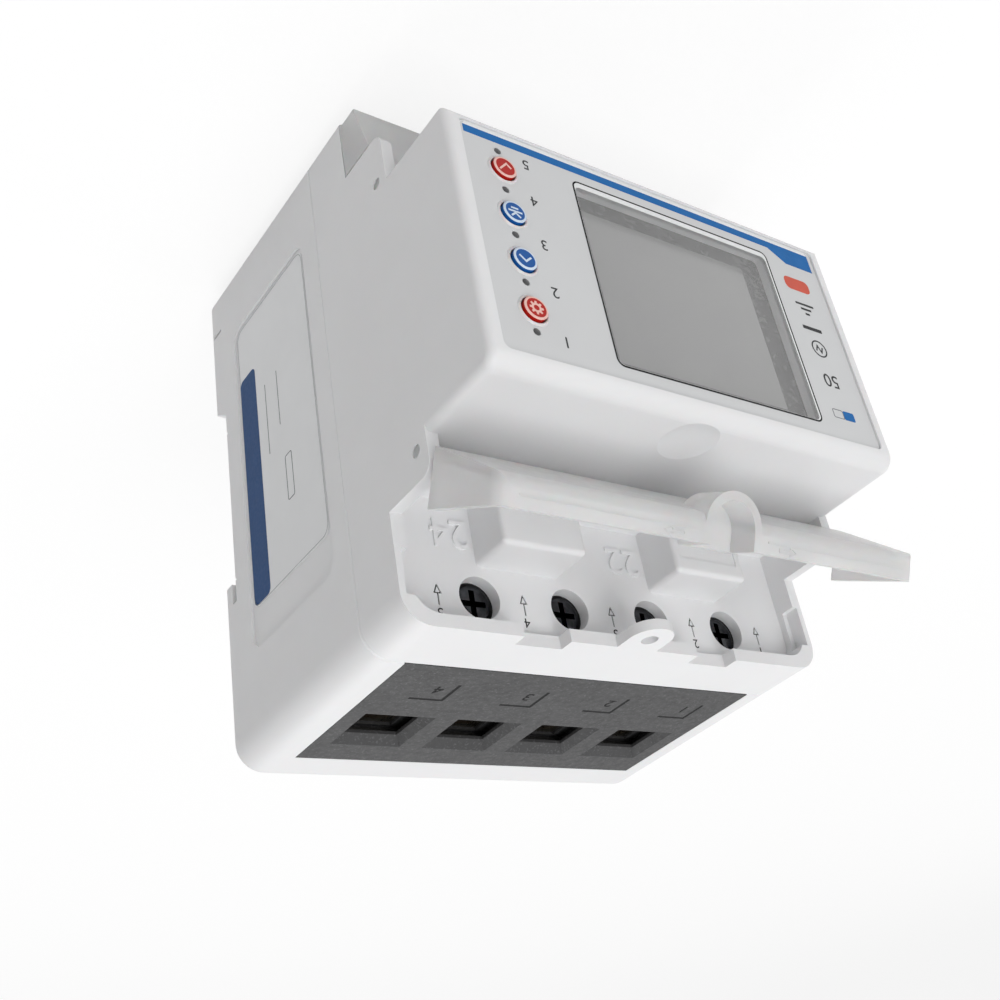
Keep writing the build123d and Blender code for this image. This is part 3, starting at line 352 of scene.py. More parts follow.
def numerals(text, height, x, z, low, high):
    """Plain numbers with their middle at a place, as thick as the two heights ask."""
    curve = bpy.data.curves.new("numerals", "FONT")
    curve.body, curve.size, curve.extrude = text, height / DIGIT_SHARE, (high - low) / 2
    curve.align_x, curve.align_y, curve.resolution_u = "CENTER", "CENTER", 4
    holder = bpy.data.objects.new("numerals", curve)
    bpy.context.scene.collection.objects.link(holder)
    bpy.context.view_layer.update()
    mesh = bpy.data.meshes.new_from_object(holder.evaluated_get(bpy.context.evaluated_depsgraph_get()))
    points = np.empty(len(mesh.vertices) * 3)
    mesh.vertices.foreach_get("co", points)
    faces = [list(face.vertices) for face in mesh.polygons]
    bpy.data.objects.remove(holder)
    bpy.data.meshes.remove(mesh)
    return points.reshape(-1, 3) + (x, z, (low + high) / 2), faces


def together(shapes):
    """Joins shapes into one list of points and one of faces."""
    points, faces, count = [], [], 0
    for some_points, some_faces in shapes:
        points.append(some_points)
        faces += [[i + count for i in face] for face in some_faces]
        count += len(some_points)
    return np.vstack(points), faces


# Planes: where a shape's across, along and height go on the monitor

def on_front(points):
    """Faces the reader: across is +X, along is +Z, height is the depth in front of the rail."""
    return points[:, [0, 2, 1]] * (1, -1, 1)


def on_side(points):
    """Faces +X: across is +Y, along is +Z, height is +X."""
    return points[:, [2, 0, 1]]


def on_end(points):
    """Faces +Z: across is +X, along runs to the rear, height is +Z."""
    return points


def on_bottom_end(points):
    """Faces -Z: the top end turned half round the middle of the front."""
    return points * (-1, 1, -1)


def on_open_cover(points):
    """Faces +Z on the closed top cover, then turns about its hinge to the angle that the cover stands at."""
    hinge = next(joint for joint in frame["joints"] if joint["name"] == "cover_top_hinge")
    angle = -math.radians(hinge["range_deg"][0])
    _, y, z = np.array(hinge["pos_m"]) / MM
    along, height = points[:, 1] - y, points[:, 2] - z
    return np.c_[points[:, 0], y + along * math.cos(angle) - height * math.sin(angle),
                 z + along * math.sin(angle) + height * math.cos(angle)]


def merge(mesh, outwards=False):
    """Merges a mesh's doubled points and, where asked, turns its faces outwards."""
    work = bmesh.new()
    work.from_mesh(mesh)
    bmesh.ops.remove_doubles(work, verts=work.verts, dist=MERGE_REACH)
    if outwards:
        bmesh.ops.recalc_face_normals(work, faces=work.faces)
    work.to_mesh(mesh)
    work.free()


def piece(name, shape, plane, finish, body="case", slot=None, smooth=False):
    """Makes an object of a shape laid in a plane, turns its faces outwards and lets it ride on a body."""
    points, faces = shape
    mesh = bpy.data.meshes.new(name)
    mesh.from_pydata((plane(np.asarray(points, float)) * MM).tolist(), [], faces)
    merge(mesh, outwards=True)
    if smooth:
        mesh.shade_smooth()
        mesh.set_sharp_from_angle(angle=math.radians(SMOOTH_ANGLE))
    mesh.materials.append(bpy.data.materials[finish])
    made = bpy.data.objects.new(name, mesh)
    bpy.context.scene.collection.objects.link(made)
    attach(made, body)
    return made


# Finishes

def add_node(tree, kind, inputs=None, **settings):
    """Adds a node, sets its own settings, and fills its sockets with values or other nodes' outputs."""
    made = tree.nodes.new(kind)
    for name, value in settings.items():
        setattr(made, name, value)
    for name, value in (inputs or {}).items():
        if isinstance(value, bpy.types.NodeSocket):
            tree.links.new(value, made.inputs[name])
        else:
            made.inputs[name].default_value = value
    return made


def clouds(tree, place, size, detail=2.0, stretch=(1, 1, 1), span=(0.3, 0.7), to=(0.0, 1.0)):
    """Noise with blobs of a size in millimetres, drawn out along the stretched axes. Its span, which is where
    noise mostly lies if nothing else is said, becomes a range of values."""
    spread = add_node(tree, "ShaderNodeMapping", {"Vector": place, "Scale": [1 / s for s in stretch]})
    blobs = add_node(tree, "ShaderNodeTexNoise", {"Vector": spread.outputs[0], "Scale": 1 / (size * MM),
                                                  "Detail": detail})
    return add_node(tree, "ShaderNodeMapRange", {"Value": blobs.outputs[0], "From Min": span[0],
                                                 "From Max": span[1], "To Min": to[0],
                                                 "To Max": to[1]}).outputs[0]


def shade(tone, share):
    """The same colour, darker or lighter by a share."""
    return (*[min(1.0, c * share) for c in tone[:3]], 1.0)


def surface(name, first, second, drift=14.0, rough=(0.4, 0.5), grain=0.12, bump=0.3, depth=0.01,
            stretch=(1, 1, 1), sockets=None, pattern=None, pattern_tone=None):
    """A finish from four measures: colour drifts between two tones over the drift size, roughness follows
    a smaller noise, and a grain of the given size raises or sinks the surface by the given depth. Where it
    has a pattern of its own, another tone shows by the share that the pattern gives."""
    made = bpy.data.materials.new(name)
    made.use_nodes = True
    tree = made.node_tree
    tree.nodes.clear()
    place = add_node(tree, "ShaderNodeTexCoord").outputs["Object"]
    tone = add_node(tree, "ShaderNodeMix", {0: clouds(tree, place, drift), 6: first, 7: second},
                    data_type="RGBA").outputs[2]
    if pattern:
        tone = add_node(tree, "ShaderNodeMix", {0: pattern(tree, place), 6: tone, 7: pattern_tone},
                        data_type="RGBA").outputs[2]
    height = clouds(tree, place, grain, 3.0, stretch, span=(0, 1))
    relief = add_node(tree, "ShaderNodeBump", {"Height": height, "Strength": bump, "Distance": depth * MM})
    polish = clouds(tree, place, drift / 5, 3.0, stretch, to=rough)
    shader = add_node(tree, "ShaderNodeBsdfPrincipled", {"Base Color": tone, "Roughness": polish,
                                                         "Normal": relief.outputs[0], **(sockets or {})})
    tree.links.new(shader.outputs[0], add_node(tree, "ShaderNodeOutputMaterial").inputs[0])


def fibre_specks(tree, place):
    """The ends of the glass fibres: only the peaks of a fine noise."""
    return clouds(tree, place, 0.4, 5.0, span=(0.56, 0.7))


def scatter_dots(tree, place):
    """Dots 0.8 mm apart, from the distance to the nearest point of an even grid."""
    grid = add_node(tree, "ShaderNodeTexVoronoi", {"Vector": place, "Scale": 1 / (0.8 * MM),
                                                   "Randomness": 0.0})
    return add_node(tree, "ShaderNodeMapRange", {"Value": grid.outputs["Distance"], "From Min": 0.3,
                                                 "From Max": 0.7, "To Min": 1.0, "To Max": 0.0}).outputs[0]


def board_tracks(tree, place):
    """Straight tracks in rows 6 mm long, which are the joints of a brick pattern laid on the board's face."""
    turned_place = add_node(tree, "ShaderNodeMapping", {"Vector": place, "Rotation": (math.pi / 2, 0, 0)})
    black, white = (0, 0, 0, 1), (1, 1, 1, 1)
    return add_node(tree, "ShaderNodeTexBrick", {"Vector": turned_place.outputs[0], "Scale": 1 / (6 * MM),
                                                 "Mortar Size": 0.045, "Mortar Smooth": 0.2, "Color1": black,
                                                 "Color2": black, "Mortar": white}).outputs["Color"]


def core_grooves(tree, place):
    """A groove every 2 mm, between pairs of cores: a wave's period is a tenth of pi over its scale."""
    waves = add_node(tree, "ShaderNodeTexWave", {"Vector": place, "Scale": math.pi / (20 * MM)},
                     bands_direction="X")
    return add_node(tree, "ShaderNodeMapRange", {"Value": waves.outputs[1], "From Min": 0.3, "From Max": 0.7,
                                                 "To Min": 0.25, "To Max": 0.0}).outputs[0]


def make_finishes():
    """Makes every finish, each from what the real material is and how its surface was made."""
    c = bpy.context.scene.monitor_colours
    shell, dark, panel = tuple(c.shell), tuple(c.terminal), tuple(c.panel)

    # Polycarbonate moulded in a fine spark-eroded tool: soft satin white, a faint grain, no hard shine.
    surface("polycarbonate_moulded_white", shell, shade(shell, 0.975), 18, (0.42, 0.52), 0.35, 0.35, 0.02,
            sockets={"IOR": 1.58, "Subsurface Weight": 0.04, "Subsurface Scale": 0.002})

    # Glass-filled polyamide, moulded: dull dark grey with pale fibre specks and a rough, dry surface.
    surface("polyamide_glass_filled_dark", dark, shade(dark, 0.82), 6, (0.5, 0.68), 0.3, 0.6, 0.05,
            sockets={"IOR": 1.53}, pattern=fibre_specks, pattern_tone=shade(dark, 1.9))

    # Natural polycarbonate from a matt tool: milky, so things behind it are only dim shapes and edges glow.
    cover = tuple(c.cover)
    surface("polycarbonate_moulded_frosted", cover, shade(cover, 0.97), 9, (0.34, 0.42), 0.8, 0.04, 0.01,
            sockets={"IOR": 1.2, "Transmission Weight": 0.5, "Subsurface Weight": 0.15,
                     "Subsurface Scale": 0.002})

    # Polyester film, screen-printed and matt: even grey with a very fine dry texture.
    surface("polyester_film_printed", panel, shade(panel, 0.98), 20, (0.38, 0.46), 0.2, 0.25, 0.01,
            sockets={"IOR": 1.6})

    # Acrylic, cast and polished: clear window with sharp soft-box reflections.
    surface("acrylic_polished_clear", linear("#FFFFFF"), linear("#FDFDFD"), 30, (0.01, 0.03), 4.0, 0.02,
            0.01, sockets={"IOR": 1.49, "Transmission Weight": 1.0})

    # Display glass under a polariser: plain grey, faintly cloudy, with a smooth skin.
    glass = tuple(c.display)
    surface("display_glass_polarised", glass, shade(glass, 0.94), 16, (0.12, 0.2), 0.25, 0.05, 0.004,
            sockets={"IOR": 1.52, "Specular IOR Level": 0.35})
    # Darker border on the glass: partly the display's own border, partly painted shade from the window's
    # walls, widest at the far side.
    surface("display_glass_border_and_shade", shade(glass, 0.46), shade(glass, 0.4), 5, (0.2, 0.3), 0.3, 0.1, 0.005,
            sockets={"IOR": 1.52, "Specular IOR Level": 0.3})

    # Acrylic diffuser: milky white with its grid of scatter dots, 0.8 mm apart.
    surface("acrylic_diffuser_dotted", linear("#E7E8EA"), linear("#E2E3E5"), 12, (0.3, 0.4), 0.3, 0.1, 0.01,
            sockets={"IOR": 1.49}, pattern=scatter_dots, pattern_tone=linear("#F3F3F3"))

    # Silicone keycap under a clear coat: full colour, soft edge light, a little gloss on top.
    for name, tone in (("silicone_keycap_red", tuple(c.red)), ("silicone_keycap_blue", tuple(c.blue))):
        surface(name, tone, shade(tone, 0.9), 1.6, (0.4, 0.5), 0.12, 0.15, 0.008,
                sockets={"IOR": 1.43, "Specular IOR Level": 0.2, "Coat Weight": 0.15, "Coat Roughness": 0.12})

    # Polypropylene label film: pale grey, slightly glossier than the case round it.
    label = tuple(c.label)
    surface("polypropylene_label_film", label, shade(label, 0.975), 10, (0.3, 0.4), 0.4, 0.2, 0.01,
            sockets={"IOR": 1.49})

    # Steel, zinc-plated and passivated: cool metal with fine turning marks, its tone darkened below bright
    # zinc as painted shade for screws deep in their holes.
    surface("steel_zinc_plated", linear("#86898E"), linear("#6C7075"), 1.8, (0.16, 0.3), 0.08, 0.35, 0.01,
            stretch=(6, 1, 6), sockets={"Metallic": 1.0})
    # Steel, made dark as painted shade for the clamp screws deep in their holes: dark metal whose smooth
    # slots and edges give small sharp glints.
    surface("steel_darkened_painted_shade", linear("#4A4B4E"), linear("#343537"), 1.2, (0.1, 0.24), 0.08, 0.3, 0.01,
            sockets={"Metallic": 1.0})
    # Brass, stamped and nickel-plated: warmer and softer than the steel, drawn along the strip, its tone
    # darkened as painted shade for the cages deep in the wire entries.
    surface("brass_nickel_plated", linear("#ADA99D"), linear("#8F8B7F"), 2.5, (0.24, 0.38), 0.1, 0.3, 0.01,
            stretch=(1, 8, 1), sockets={"Metallic": 1.0})
    # Copper bar, rolled: red-brown with rolling lines along its length and dull oxide patches.
    surface("copper_rolled_bar", linear("#C98A63"), linear("#9C5F42"), 3.0, (0.28, 0.5), 0.12, 0.4, 0.015,
            stretch=(1, 1, 12), sockets={"Metallic": 1.0})

    # Acetal, moulded black: waxy deep black with a soft broad highlight.
    surface("acetal_moulded_black", linear("#222224"), linear("#2B2B2D"), 5, (0.35, 0.48), 0.25, 0.3, 0.02,
            sockets={"IOR": 1.48})

    # Glass-fibre board under solder mask: green lacquer over straight tracks and the cloth's weave.
    surface("fibreglass_board_masked", linear("#1F5A3C"), linear("#184A31"), 4, (0.22, 0.34), 0.5, 0.5, 0.02,
            stretch=(1, 1, 5), sockets={"IOR": 1.5}, pattern=board_tracks, pattern_tone=linear("#3B8A5C"))

    # Epoxy moulding compound: flat black, slightly sandy.
    surface("epoxy_moulded_black", linear("#1B1B1C"), linear("#262627"), 3, (0.5, 0.62), 0.2, 0.4, 0.02,
            sockets={"IOR": 1.55})
    # Acrylic light guide: smoky clear rods whose ends look dark with no lamp lit.
    surface("acrylic_light_guide", linear("#B9BCBE"), linear("#AEB1B3"), 2, (0.1, 0.18), 0.5, 0.1, 0.01,
            sockets={"IOR": 1.49, "Transmission Weight": 0.6})
    surface("acrylic_lens_smoked", linear("#373839"), linear("#2F3031"), 0.6, (0.18, 0.28), 0.15, 0.1, 0.005,
            sockets={"IOR": 1.49, "Coat Weight": 0.3, "Coat Roughness": 0.1})

    # Ribbon lead in soft vinyl: off-white with a groove between each pair of cores.
    surface("vinyl_ribbon_lead", linear("#D8D6CF"), linear("#CFCDC6"), 5, (0.4, 0.5), 0.2, 0.2, 0.01,
            sockets={"IOR": 1.53}, pattern=core_grooves, pattern_tone=linear("#8E8C86"))

    # Ceramic disc dipped in epoxy: bright blue with a slightly uneven, glossy skin.
    surface("epoxy_dipped_blue", linear("#2C63B8"), linear("#2556A4"), 2, (0.2, 0.3), 1.2, 0.35, 0.05,
            sockets={"IOR": 1.55})

    # Screen inks: thin, matt, with the slight unevenness of a mesh.
    # The white ink also paints the highlight at the window's edge.
    for name, tone in (("ink_blue", tuple(c.stripe)), ("white_ink_and_highlight", linear("#EDEEEE")),
                       # The inks on the caps also paint the highlight on the caps' edges.
                       ("red_cap_ink_and_highlight", linear("#F0C4BA")), ("blue_cap_ink_and_highlight", linear("#D3E1F0")),
                       # The dark ink also paints the shade in the arrows' grooves.
                       ("dark_ink_and_groove_shade", linear("#3A3B3C")), ("ink_black", linear("#161617")),
                       ("ink_red", linear("#D3604F")), ("ink_band", tuple(c.band)),
                       ("ink_grey", linear("#7C7E81")), ("ink_pale_grey", linear("#BEBFC1"))):
        surface(name, tone, shade(tone, 0.93), 3, (0.5, 0.62), 0.15, 0.2, 0.006,
                sockets={"IOR": 1.5, "Specular IOR Level": 0.15})

    # Raised mark in the shell's own plastic, and the pale lip round each button.
    surface("polycarbonate_raised_mark", shade(shell, 1.02), shell, 6, (0.4, 0.5), 0.3, 0.2, 0.01,
            sockets={"IOR": 1.58})
    surface("silicone_lip_pale", linear("#E2DADA"), linear("#D8D0D0"), 2, (0.25, 0.35), 0.2, 0.1, 0.01,
            sockets={"IOR": 1.43, "Subsurface Weight": 0.2, "Subsurface Scale": 0.001})


FINISH_OF_SLOT = {
    "shell_white": "polycarbonate_moulded_white", "terminal_dark": "polyamide_glass_filled_dark",
    "cover_clear": "polycarbonate_moulded_frosted", "panel_grey": "polyester_film_printed",
    "window_clear": "acrylic_polished_clear", "lcd_grey": "display_glass_polarised",
    "backlight_white": "acrylic_diffuser_dotted", "button_red": "silicone_keycap_red",
    "button_blue": "silicone_keycap_blue", "label_paper": "polypropylene_label_film",
    "steel_zinc": "steel_zinc_plated", "brass_nickel": "brass_nickel_plated",
    "copper_bar": "copper_rolled_bar", "clip_black": "acetal_moulded_black",
    "board_green": "fibreglass_board_masked", "part_black": "epoxy_moulded_black",
    "light_clear": "acrylic_light_guide", "lead_white": "vinyl_ribbon_lead",
    "disc_blue": "epoxy_dipped_blue",
}


class MONITOR_OT_finishes(bpy.types.Operator):
    """Make the finishes and give one to every part of the frame"""

    bl_idname = "monitor.finishes"
    bl_label = "Finishes"

    def execute(self, context):
        make_finishes()
        for name, node in nodes.items():
            for place in node.material_slots:
                finish = FINISH_OF_SLOT[place.material.name]
                # Painted shade: the clamp screws get the darkened steel, which stands for the shade deep in
                # their holes.
                if name.startswith("clamp_screw"):
                    finish = "steel_darkened_painted_shade"
                place.material = bpy.data.materials[finish]
        return {"FINISHED"}


class MONITOR_OT_clip_spring(bpy.types.Operator):
    """Stand a copy of the rigid rail-clip spring in its place, riding on the case"""

    bl_idname = "monitor.clip_spring"
    bl_label = "Clip spring"

    def execute(self, context):
        rigid = nodes["rail_clip_spring"]
        spring = bpy.data.objects.new("clip_spring", rigid.data.copy())
        merge(spring.data)
        context.scene.collection.objects.link(spring)
        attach(spring, "case")
        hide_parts("rail_clip_spring")
        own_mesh(spring)
        return {"FINISHED"}


def inset(box, reach):
    """Outline of a round box drawn in by a reach on every side."""
    left, right, low, high, radius = box
    return round_box(left + reach, right - reach, low + reach, high - reach, max(radius - reach, reach))


def rim_of(low, high, reach):
    """Outline of the window's box, let out by a reach, with its corners rounded."""
    return round_box(low[0] - reach, high[0] + reach, low[2] - reach, high[2] + reach, WINDOW_ROUND + reach)


class MONITOR_OT_panel_print(bpy.types.Operator):
    """Print the front panel: stripe, window outline, tags and plain numbers"""

    bl_idname = "monitor.panel_print"
    bl_label = "Panel print"

    def execute(self, context):
        s = sizes()
        low, high = corners("display_panel")
        window_low, window_high = corners("display_window")
        film = -low[1]
        top = film + s["ink"]
        left, right, edge = low[0] + STRIPE_LEFT, high[0] - STRIPE_RIGHT, low[2] + STRIPE_FOOT
        stripe_low = edge + s["stripe_edge"]
        stripe_high = stripe_low + s["stripe"]
        white = np.array([(left + STRIPE_CORNER, edge), (right - STRIPE_CORNER, edge), (right, stripe_low),
                          (left, stripe_low)])
        printed = partial(piece, plane=on_front, slot="panel_grey")
        whole = (low[0], high[0], low[2], high[2], FILM_ROUND)
        rim = frame_plate(inset(whole, FILM_RIM_GAP), inset(whole, FILM_RIM_GAP + s["rule"]), film,
                          film + s["ink"] / 2)
        printed("panel_rim", rim, finish="white_ink_and_highlight")
        printed("panel_edge_strip", plate(white, film, top), finish="white_ink_and_highlight")
        bend = np.array(STRIPE_BEND) + (0, stripe_high)
        blue = np.array([(left, stripe_low), (right, stripe_low), (right, stripe_high), *bend,
                         (left, bend[1][1])])
        printed("panel_stripe", plate(blue, film, top), finish="ink_blue")
        round_window = partial(rim_of, window_low, window_high)
        printed("window_outline", frame_plate(round_window(s["outline"]), round_window(0), film, top),
                finish="ink_black")
        # Painted highlight: white ink on the film stands for the lit edge of the opening, wide along the foot
        # of the window and narrow along its far side.
        hair, wide, narrow = s["ink"], s["bevel"], s["bevel"] * HIGHLIGHT_FAR_SHARE
        clear = round_box(window_low[0] + narrow, window_high[0] - hair, window_low[2] + wide,
                          window_high[2] - hair, WINDOW_ROUND)
        piece("window_edge_highlight", frame_plate(round_window(0), clear, film, top), on_front, "white_ink_and_highlight",
              slot="window_clear")
        printed("tag_red", plate(round_box(*RED_TAG), film, top), finish="ink_red")
        printed("tag_blue", plate(round_box(*BLUE_TAG), film, top), finish="ink_blue")
        line, ring = s["mark_line"], s["mark_ring"]
        printed("tag_frame", frame_plate(round_box(*TAG_FRAME), inset(TAG_FRAME, line / 2), film, top),
                finish="ink_grey")
        marks = [plate(stroke(row, line * EARTH_LINE_SHARE), film, top) for row in EARTH_LINES]
        marks += [plate(round_box(*BAR), film, top),
                  frame_plate(circle(*WAVE_CENTRE, ring), circle(*WAVE_CENTRE, ring - line), film, top),
                  plate(stroke(WAVE, line), film, top),
                  numerals("50", s["rating"], *RATING_PLACE, film, top)]
        marks += [numerals(str(n), s["number"], LIGHT_NUMBER_X, z, film, top)
                  for n, z in LIGHT_NUMBERS.items()]
        printed("panel_marks", together(marks), finish="dark_ink_and_groove_shade")
        return {"FINISHED"}


class MONITOR_OT_buttons(bpy.types.Operator):
    """Fit the pale lips, icons, painted highlights on the caps' edges and indicator lenses"""

    bl_idname = "monitor.buttons"
    bl_label = "Buttons and lights"

    def execute(self, context):
        s = sizes()
        film = -corners("display_panel")[0][1]
        line = s["icon_line"]
        lips = []
        for name, rows in ICONS.items():
            low, high = corners(f"button_{name}")
            x, z, top = (low[0] + high[0]) / 2, (low[2] + high[2]) / 2, -low[1]
            ink = top + s["ink"]
            shapes = [plate(stroke(row, line), top - s["ink"], ink) for row in rows]
            if name == "menu":
                shapes.append(frame_plate(gear(0, 0, s["cog"], s["cog_tooth"], COG_TEETH),
                                          circle(0, 0, s["cog_bore"], 96), top - s["ink"], ink))
            points, faces = together(shapes)
            points[:, :2] += (x, z)
            cap_ink_and_highlight = "red_cap_ink_and_highlight" if name in RED_BUTTONS else "blue_cap_ink_and_highlight"
            piece(f"icon_{name}", (points, faces), on_front, cap_ink_and_highlight, body=f"button_{name}_body",
                  slot="button_red")
            # Painted highlight: a pale skin that follows the cap's quarter round.
            turn = np.linspace(0, EDGE_TURN, 6)[:, None]
            flat = s["cap"] - s["cap_round"]
            skin = [(0, -s["cap_round"]) + (s["cap_round"] + reach) * np.hstack([np.sin(turn), np.cos(turn)])
                    for reach in (s["ink"], -s["ink"])]
            profile = np.vstack([(-s["cap_ring"], s["ink"]), skin[0], skin[1][::-1],
                                 (-s["cap_ring"], -s["ink"])])
            piece(f"cap_ring_{name}", turned(profile + (flat, top), (x, z), 64), on_front, cap_ink_and_highlight,
                  body=f"button_{name}_body", slot="button_red", smooth=True)
            rise, inner = s["button_lip_rise"], s["button_lip_bore"]
            outer, middle = inner + s["button_lip"], inner + s["button_lip"] / 2
            root = film - LIP_ROOT
            lips.append(turned(((inner, root), (inner, film + rise * LIP_INNER), (middle, film + rise),
                                (outer, film + rise * LIP_OUTER), (outer + LIP_FLARE, root)), (x, z), 64))
        piece("button_lips", together(lips), on_front, "silicone_lip_pale", slot="panel_grey", smooth=True)
        low, high = corners("light_pipes")
        first, last = low[2] + LIGHT_INSET, high[2] - LIGHT_INSET
        places = [first] + [last - LIGHT_STEP * n for n in (3, 2, 1, 0)]
        lenses = [dome((LIGHT_X, z), s["lens"], film, s["lens_dome"]) for z in places]
        piece("indicator_lenses", together(lenses), on_front, "acrylic_lens_smoked", slot="light_clear",
              smooth=True)
        return {"FINISHED"}


class MONITOR_OT_display(bpy.types.Operator):
    """Lay the dark border on the display glass: partly its own border, partly painted shade from the window's
    walls
    """

    bl_idname = "monitor.display"
    bl_label = "Display"

    def execute(self, context):
        s = sizes()
        low, high = corners("display_window")
        front = -corners("lcd_glass")[0][1]
        far, near = s["mask"], s["mask_near"]
        outer = round_box(low[0] - BORDER_REACH, high[0] + BORDER_REACH, low[2] - BORDER_REACH,
                          high[2] + BORDER_REACH, BORDER_OUTER_ROUND)
        inner = round_box(low[0] + far, high[0] - near, low[2] + near, high[2] - near, BORDER_INNER_ROUND)
        piece("display_border_and_shade", frame_plate(outer, inner, front, front + s["ink"]), on_front,
              "display_glass_border_and_shade", slot="lcd_grey")
        return {"FINISHED"}


class MONITOR_OT_side_label(bpy.types.Operator):
    """Print the side label: blue band, fine rules and an empty stamp frame"""

    bl_idname = "monitor.side_label"
    bl_label = "Side label"

    def execute(self, context):
        s = sizes()
        low, high = corners("side_label")
        face = high[0]
        top = face + s["ink"]
        rear = high[1] - BAND_REAR_GAP
        band = round_box(rear - s["band"], rear, *BAND_SPAN, s["band_round"])
        piece("label_band", plate(band, face, top), on_side, "ink_band", slot="label_paper")
        line = s["rule"]
        rules = [plate(stroke(row, line), face, top) for row in LABEL_RULES]
        rules.append(frame_plate(round_box(*STAMP_FRAME), inset(STAMP_FRAME, line), face, top))
        piece("label_rules", together(rules), on_side, "ink_grey", slot="label_paper")
        edge = (low[1], high[1], low[2], high[2], s["label_round"])
        piece("label_edge", frame_plate(inset(edge, line / 2), inset(edge, line * 1.5), face, top), on_side,
              "ink_pale_grey", slot="label_paper")
        return {"FINISHED"}


class MONITOR_OT_marks(bpy.types.Operator):
    """Raise the deck numbers, print the plain numbers at arrows and wire entries, and paint shade into the
    arrows' grooves
    """

    bl_idname = "monitor.marks"
    bl_label = "Numbers"

    def execute(self, context):
        s = sizes()
        deck, top = DECK_DEPTH, DECK_DEPTH + s["deck_number_rise"]
        raised = [numerals(text, s["deck_number"], *place, deck, top) for text, place in DECK_NUMBERS.items()]
        piece("deck_numbers", together(raised), on_front, "polycarbonate_raised_mark", slot="shell_white")
        ink = deck + s["ink"]
        small = [numerals(str(n + 1), s["arrow_number"], x, ARROW_NUMBER_Z, deck, ink)
                 for n, x in enumerate(ARROWS_X)]
        half, line = s["arrow_half"], s["arrow_line"]
        # Painted shade: a dark plate in each arrow's engraved groove stands for the shade inside it.
        for x in ARROWS_X:
            head = ((x - half, ARROW_NECK), (x, ARROW_TIP), (x + half, ARROW_NECK), (x - half, ARROW_NECK))
            tail = ((x, ARROW_NECK), (x, ARROW_TAIL))
            small += [plate(stroke(row, line), deck - ARROW_SHADE_FOOT, deck - ARROW_SHADE_TOP)
                      for row in (head, tail)]
        piece("arrow_numbers_and_groove_shade", together(small), on_front, "dark_ink_and_groove_shade", slot="shell_white")
        # Each pole has a dark angle in its groove and a plain number inside the angle.
        end = corners("terminal_block_top")[1][2]
        line, floor = s["pole_mark_line"], end - ANGLE_SINK
        across, along = POLE_NUMBER_PLACE
        marks = []
        for n, x in enumerate(spread_poles()):
            angle = ((x + ANGLE_RIGHT, ANGLE_FAR), (x + ANGLE_LEFT, ANGLE_FAR),
                     (x + ANGLE_LEFT, ANGLE_FAR - ANGLE_LEG))
            marks.append((plate(stroke(angle, line), floor - s["ink"], end - s["ink"]),
                          numerals(str(n + 1), s["pole_number"], x + across, along, end - s["ink"],
                                   end + s["ink"])))
        marks = together([shape for pair in marks for shape in pair])
        piece("pole_marks_top", marks, on_end, "ink_black", slot="terminal_dark")
        piece("pole_marks_bottom", marks, on_bottom_end, "ink_black", slot="terminal_dark")
        return {"FINISHED"}


class MONITOR_OT_cover_lines(bpy.types.Operator):
    """Raise the edge lines and small arrows on both terminal covers"""

    bl_idname = "monitor.cover_lines"
    bl_label = "Cover lines"

    def execute(self, context):
        s = sizes()
        line = s["cover_line"]
        end = corners("front_case")[1][2]
        foot = corners("terminal_cover_bottom")[1][1]
        half = corners("terminal_cover_bottom")[1][0]
        low, high = end - COVER_LINE_ROOT, end + s["cover_line_rise"]
        shapes = []
        for side in (1, -1):
            edge = ((side * COVER_LINE_START, foot - COVER_LINE_DROP),
                    (side * (half - COVER_LINE_MARGIN), foot - COVER_LINE_DROP))
            shapes.append(plate(stroke(edge, line), low, high))
            arrow = np.array(COVER_ARROW) * (side, 1) + (side * COVER_ARROW_X, foot - COVER_LINE_DROP / 2)
            shapes.append(plate(stroke(arrow, line * COVER_ARROW_LINE_SHARE), low, high))
        lines = together(shapes)
        piece("cover_lines_top", lines, on_open_cover, "polycarbonate_moulded_frosted",
              body="terminal_cover_top_body", slot="cover_clear")
        piece("cover_lines_bottom", lines, on_bottom_end, "polycarbonate_moulded_frosted",
              body="terminal_cover_bottom_body", slot="cover_clear")
        return {"FINISHED"}


def spread_poles():
    """Across places of the four poles, from the clamp screws."""
    boxes = [corners(f"clamp_screw_top_{n}") for n in (1, 2, 3, 4)]
    return sorted((low[0] + high[0]) / 2 for low, high in boxes)


